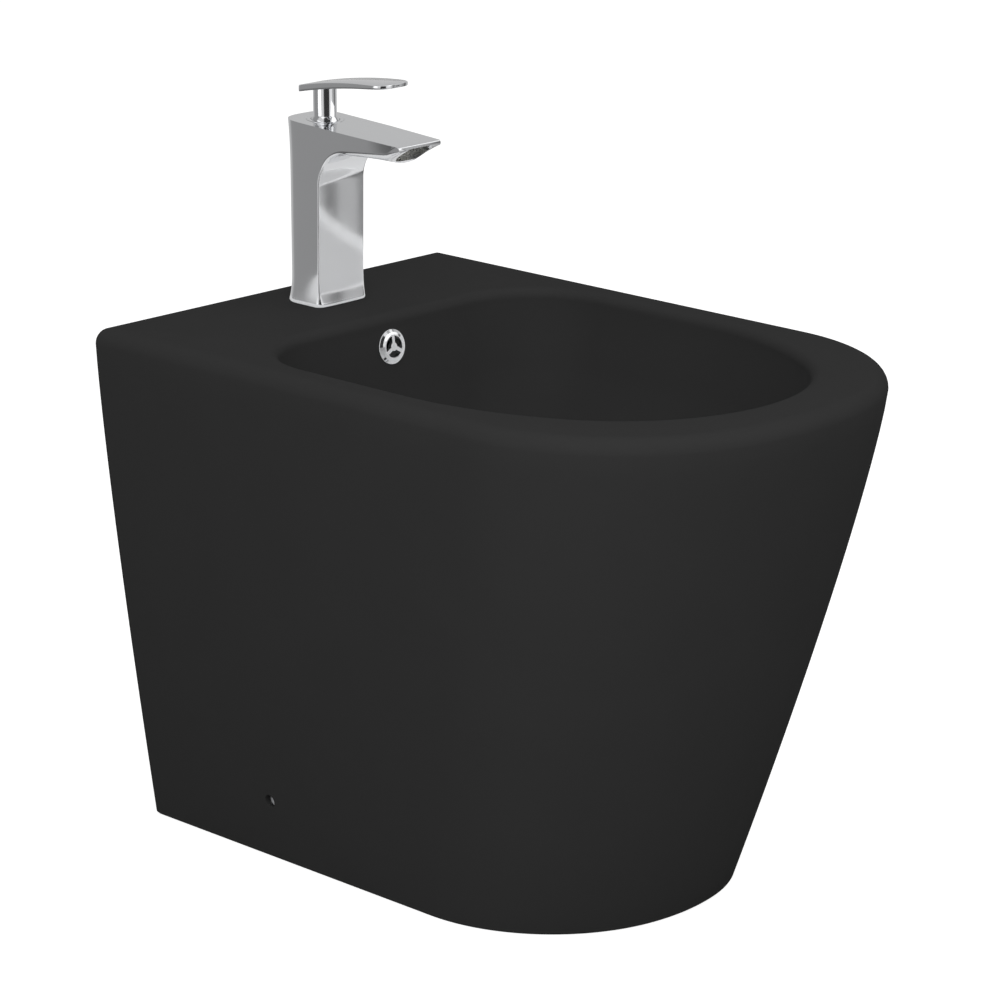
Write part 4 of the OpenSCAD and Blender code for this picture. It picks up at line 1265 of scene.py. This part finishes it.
@dataclass
class LeverHandle:
    """The neck with its dome and the flat lever, one casting."""

    axis_y: float = 211.0
    pivot_z: float = 537.5
    neck_r: float = 9.0
    dome_r: float = 11.5
    dome_wall: float = 2.0
    back: float = 15.0
    length: float = 93.5
    height: float = 29.6
    rise: float = 10.7
    bow: float = 2.4
    thick: float = 5.2
    tip_thick: float = 2.7
    rear_w: float = 27.0
    tip_w: float = 34.0
    tip_power: float = 3.4
    edge: float = 0.8
    dome_drop: float = 1.0
    socket_h: float = 24.0
    socket_r: float = 2.55
    grub_z: float = 17.0
    grub_l: float = 10.0
    grub_r: float = 2.05
    cover_y: float = 7.15
    cover_r: float = 2.65
    straight_n: int = 24
    tip_n: int = 64
    dome_n: int = 16
    hollow_n: int = 12
    crease: float = 40.0

    def top_z(self, s: float) -> float:
        """Height of the lever's top face above the pivot.

        Args:
            s: Share of the lever's length.

        Returns:
            The height.
        """
        return self.height + self.rise * s + 4 * self.bow * s * (1 - s)

    def half_w(self, d: float) -> float:
        """Half the lever's width.

        Args:
            d: Distance from its rear end.

        Returns:
            The half width.
        """
        r = self.tip_w / 2
        straight = self.length - r
        if d <= straight:
            return lerp(self.rear_w / 2, r, d / straight)
        share = min(1.0, (d - straight) / r)
        return r * (1 - share**self.tip_power) ** (1 / self.tip_power)

    def plate(self) -> bpy.types.Object:
        """Makes the flat lever.

        Returns:
            The object.
        """
        e, r, rings = self.edge, self.tip_w / 2, []
        straight = self.length - r
        places = [(0.0, e), (e * ROUNDED, e * ROUNDED), (e, 0.0)]
        n = self.straight_n
        places += [(lerp(e, straight, i / n), 0.0) for i in range(1, n + 1)]
        n = self.tip_n
        places += [(straight + r * math.sin(math.pi / 2 * i / n), 0.0) for i in range(1, n)]
        places.append((self.length - 0.01, e))
        for d, inset in places:
            s = d / self.length
            top = self.top_z(s) - inset
            low = self.top_z(s) - lerp(self.thick, self.tip_thick, s**2) + inset
            w = max(0.05, self.half_w(d) - inset)
            b = min(e, w * 0.9)
            c = b * ROUNDED
            corners = [
                (-w, low + b), (-w + c, low + c), (-w + b, low),
                (w - b, low), (w - c, low + c), (w, low + b),
                (w, top - b), (w - c, top - c), (w - b, top),
                (-w + b, top), (-w + c, top - c), (-w, top - b),
            ]
            y = self.axis_y + self.back - d
            rings.append([(x, y, self.pivot_z + z) for x, z in corners])
        return stack_object("lever_casting", rings)

    def build(self, chrome: bpy.types.Material) -> bpy.types.Object:
        """Makes the handle.

        Args:
            chrome: Its material.

        Returns:
            The object.
        """
        plate = self.plate()
        y, z = self.axis_y, self.pivot_z
        top = self.top_z(self.back / self.length) - self.thick / 2
        start = math.asin(-self.dome_drop / self.dome_r)
        end = math.acos(self.neck_r / self.dome_r)
        turns = [lerp(start, end, i / self.dome_n) for i in range(self.dome_n + 1)]
        arc = [(self.dome_r * math.cos(a), z + self.dome_r * math.sin(a)) for a in turns]
        combine(plate, Cut.JOIN, [lathe("neck", arc + [(self.neck_r, z + top)], 0, y)])
        inner = self.dome_r - self.dome_wall
        turns = [math.pi / 2 * i / self.hollow_n for i in range(self.hollow_n + 1)]
        hollow = [(max(0.05, inner * math.cos(a)), z + inner * math.sin(a)) for a in turns]
        hole_z, out = z + self.grub_z, y + self.grub_l
        tools = [
            lathe("hollow", [(inner, z - 2)] + hollow, 0, y),
            rod("socket", (0, y, z), (0, y, z + self.socket_h), self.socket_r),
            rod("grub_hole", (0, y, hole_z), (0, out, hole_z), self.grub_r),
            rod("cover_hole", (0, y + self.cover_y, hole_z), (0, out, hole_z), self.cover_r),
        ]
        combine(plate, Cut.TAKE, tools)
        return finish_piece(plate, chrome, "lever", "lever_handle", self.crease)


@dataclass
class PlugSpring:
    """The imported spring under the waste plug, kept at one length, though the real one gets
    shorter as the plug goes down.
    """

    foot_z: float = 239.3
    travel: float = 8.0
    axis_y: float = 30.0

    def build(self, spring: bpy.types.Object) -> bpy.types.Object:
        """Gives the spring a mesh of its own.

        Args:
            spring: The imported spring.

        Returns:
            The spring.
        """
        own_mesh(spring)
        return spring


# Studio


@dataclass(frozen=True)
class Card:
    """A lamp panel that lights the object and shows in its reflections.

    Attributes:
        name: The lamp's name.
        place: Its centre in metres.
        aim: The point that it faces.
        size: Its width and height in metres.
        power: Its power in watts.
        mirrored: Whether reflections show it.
    """

    name: str
    place: Point
    aim: Point
    size: tuple[float, float]
    power: float
    mirrored: bool = True

    def build(self) -> bpy.types.Object:
        """Makes the lamp.

        Returns:
            The object.
        """
        lamp = bpy.data.lights.new(self.name, "AREA")
        lamp.shape = "RECTANGLE"
        lamp.size, lamp.size_y = self.size
        lamp.energy = self.power
        obj = bpy.data.objects.new(self.name, lamp)
        obj.location = self.place
        aim = Vector(self.aim) - Vector(self.place)
        obj.rotation_euler = aim.to_track_quat("-Z", "Y").to_euler()
        obj.visible_glossy = self.mirrored
        bpy.context.scene.collection.objects.link(obj)
        LOG.info("lamp %s, %.0f W", self.name, self.power)
        return obj


@dataclass
class Studio:
    """Floor, backdrop light, lamps and camera.

    Attributes:
        azimuth: Degrees by which the camera stands round from the front.
        elevation: Degrees by which it stands above the level.
        distance: Its distance from the target in metres.
        target: The point that it looks at, in metres.
        lens: Its focal length in millimetres.
        panels: Share of a turn round the room and brightness that metal reflects there.
        levels: Share of the way from the floor to the zenith and its share of that brightness.
        room_light: Strength of the light from low down and from above.
        floor_glow: Strength at which the floor glows for the camera.
        floor_z: Height of the floor in millimetres, just under the foot.
        floor_half: Half the floor's width in millimetres.
        cards: The lamps.
    """

    azimuth: float = -46.26
    elevation: float = 16.53
    distance: float = 3.16813
    target: Point = (0.18684, 0.20592, 0.2)
    lens: float = 139.54
    panels: tuple[tuple[float, float], ...] = (
        (0.0, 0.75), (0.083, 0.75), (0.108, 0.04), (0.242, 0.04), (0.261, 0.9), (0.328, 0.9),
        (0.352, 0.5), (0.36, 0.22), (0.366, 0.22), (0.369, 0.52), (0.388, 0.52),
        (0.391, 0.28), (0.397, 0.28), (0.401, 0.45), (0.417, 0.15), (0.444, 0.15),
        (0.467, 0.57), (0.75, 0.57), (0.806, 0.33), (0.917, 0.31), (0.958, 0.75), (1.0, 0.75),
    )
    levels: tuple[tuple[float, float], ...] = (
        (0.0, 0.3), (0.24, 0.4), (0.29, 0.55), (0.34, 1.0), (1.0, 1.0),
    )
    room_light: tuple[float, float] = (0.4, 0.5)
    floor_glow: float = 0.84
    floor_z: float = -0.5
    floor_half: float = 6000.0
    cards: tuple[Card, ...] = (
        Card("top_panel", (-0.2, 0.1, 2.4), (0.0, 0.0, 0.3), (2.2, 2.2), 9.0),
        Card("camera_panel", (-1.62, -1.56, 1.65), (0.0, 0.0, 0.35), (2.2, 2.2), 44.0, False),
        Card("right_panel", (1.7, -1.9, 1.8), (0.0, 0.0, 0.3), (2.6, 2.2), 17.0),
        Card("left_panel", (-2.2, 0.5, 0.8), (0.0, 0.0, 0.3), (1.2, 1.4), 5.0),
    )

    def world(self) -> None:
        """Sets a white backdrop, a grey room that lights, and panels that metal reflects."""
        world = bpy.data.worlds.new("studio_room")
        bpy.context.scene.world = world
        world.use_nodes = True
        tree = world.node_tree
        tree.nodes.clear()
        path = add(tree, "ShaderNodeLightPath")
        place = add(tree, "ShaderNodeTexCoord").outputs["Generated"]
        axes = add(tree, "ShaderNodeSeparateXYZ", inputs={"Vector": place})
        height = add(
            tree,
            "ShaderNodeMapRange",
            inputs={
                "Value": axes.outputs["Z"],
                "From Min": -0.4,
                "From Max": 1.0,
                "To Min": self.room_light[0],
                "To Max": self.room_light[1],
            },
        )
        strengths = (
            height.outputs["Result"],
            self.reflected(tree, place, axes.outputs["Z"]),
            1.0,
        )
        room, mirrored, backdrop = (
            add(
                tree,
                "ShaderNodeBackground",
                inputs={"Color": linear("ffffff"), "Strength": strength},
            ).outputs["Background"]
            for strength in strengths
        )
        around = add(
            tree,
            "ShaderNodeMixShader",
            inputs={"Fac": path.outputs["Is Glossy Ray"], 1: room, 2: mirrored},
        )
        shown = add(
            tree,
            "ShaderNodeMixShader",
            inputs={
                "Fac": path.outputs["Is Camera Ray"],
                1: around.outputs["Shader"],
                2: backdrop,
            },
        )
        add(tree, "ShaderNodeOutputWorld", inputs={"Surface": shown.outputs["Shader"]})

    def reflected(
        self,
        tree: bpy.types.NodeTree,
        place: bpy.types.NodeSocket,
        up: bpy.types.NodeSocket,
    ) -> bpy.types.NodeSocket:
        """Draws the light and dark panels that metal reflects.

        Args:
            tree: The world's tree.
            place: The direction in which a ray goes.
            up: How far it goes up.

        Returns:
            The socket that gives their brightness.
        """
        turn = add(
            tree, "ShaderNodeTexGradient", {"gradient_type": "RADIAL"}, {"Vector": place}
        )
        rise = add(
            tree,
            "ShaderNodeMapRange",
            inputs={"Value": up, "From Min": -1.0, "From Max": 1.0},
        )
        colours = []
        for source, stops in (
            (turn.outputs["Fac"], self.panels),
            (rise.outputs["Result"], self.levels),
        ):
            ramp = add(tree, "ShaderNodeValToRGB", inputs={"Fac": source})
            marks = ramp.color_ramp.elements
            while len(marks) > 1:
                marks.remove(marks[0])
            for k, (at, value) in enumerate(stops):
                mark = marks[0] if k == 0 else marks.new(at)
                mark.position = at
                mark.color = (value, value, value, 1.0)
            colours.append(ramp.outputs["Color"])
        sheen = add(
            tree,
            "ShaderNodeMath",
            {"operation": "MULTIPLY"},
            {0: colours[0], 1: colours[1]},
        )
        return sheen.outputs["Value"]

    def floor(self) -> bpy.types.Object:
        """Makes the white floor, which metal sees through to the room's panels.

        Returns:
            The object.
        """
        half, z = self.floor_half, self.floor_z
        corners = [(-half, -half, z), (half, -half, z), (half, half, z), (-half, half, z)]
        obj = mesh_object("floor", corners, [(0, 1, 2, 3)])
        material = bpy.data.materials.new("white_studio_floor")
        material.use_nodes = True
        tree = material.node_tree
        tree.nodes.clear()
        path = add(tree, "ShaderNodeLightPath")
        # To the camera a matt floor that glows nearly white, so that shadows stay faint
        matt = add(tree, "ShaderNodeBsdfDiffuse", inputs={"Color": linear("b0b0b0")})
        glow = add(
            tree,
            "ShaderNodeEmission",
            inputs={"Color": linear("ffffff"), "Strength": self.floor_glow},
        )
        lit = add(
            tree,
            "ShaderNodeAddShader",
            inputs={0: matt.outputs["BSDF"], 1: glow.outputs["Emission"]},
        )
        # To all other rays a plain grey floor, which polished metal looks through
        grey = add(tree, "ShaderNodeBsdfDiffuse", inputs={"Color": linear("b4b4b4")})
        clear = add(tree, "ShaderNodeBsdfTransparent")
        unseen = add(
            tree,
            "ShaderNodeMixShader",
            inputs={
                "Fac": path.outputs["Is Glossy Ray"],
                1: grey.outputs["BSDF"],
                2: clear.outputs["BSDF"],
            },
        )
        both = add(
            tree,
            "ShaderNodeMixShader",
            inputs={
                "Fac": path.outputs["Is Camera Ray"],
                1: unseen.outputs["Shader"],
                2: lit.outputs["Shader"],
            },
        )
        add(tree, "ShaderNodeOutputMaterial", inputs={"Surface": both.outputs["Shader"]})
        obj.data.materials.append(material)
        return obj

    def camera(self) -> bpy.types.Object:
        """Sets the camera at the photo's angle.

        Returns:
            The camera.
        """
        a, e = math.radians(self.azimuth), math.radians(self.elevation)
        back = Vector((math.sin(a) * math.cos(e), -math.cos(a) * math.cos(e), math.sin(e)))
        data = bpy.data.cameras.new("camera")
        data.lens = self.lens
        data.sensor_width = 36.0
        data.clip_start, data.clip_end = 0.1, 50.0
        obj = bpy.data.objects.new("camera", data)
        obj.location = Vector(self.target) + back * self.distance
        obj.rotation_mode = "QUATERNION"
        obj.rotation_quaternion = (-back).to_track_quat("-Z", "Y")
        bpy.context.scene.collection.objects.link(obj)
        bpy.context.scene.camera = obj
        return obj

    def build(self) -> None:
        """Makes the whole studio."""
        self.world()
        self.floor()
        for card in self.cards:
            card.build()
        self.camera()
        bpy.context.scene.view_settings.view_transform = "Standard"


@dataclass
class Dressing:
    """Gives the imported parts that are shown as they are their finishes."""

    nodes: dict[str, bpy.types.Object]
    slots: dict[str, str]
    materials: dict[Slot, bpy.types.Material]

    def build(self) -> None:
        """Sets each part's material."""
        for name, obj in self.nodes.items():
            material = self.materials[Slot(self.slots[name])]
            obj.data.materials.clear()
            obj.data.materials.append(material)
            for polygon in obj.data.polygons:
                polygon.material_index = 0
            LOG.info("%s is shown as packed, in %s", name, material.name)


def main() -> None:
    """Builds the scene."""
    logging.basicConfig(level=logging.INFO)
    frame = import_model()
    materials = {slot: finish.build() for slot, finish in FINISHES.items()}
    slots = {s["node"]: s["material_slot"] for s in frame["record"]["subparts"]}
    Dressing(frame["nodes"], slots, materials).build()
    CeramicBody().build(materials[Slot.GLAZE])
    TapBody().build(materials[Slot.CHROME])
    LeverHandle().build(materials[Slot.CHROME])
    PlugSpring().build(frame["nodes"]["plug_spring"])
    Studio().build()


if __name__ == "__main__":
    main()
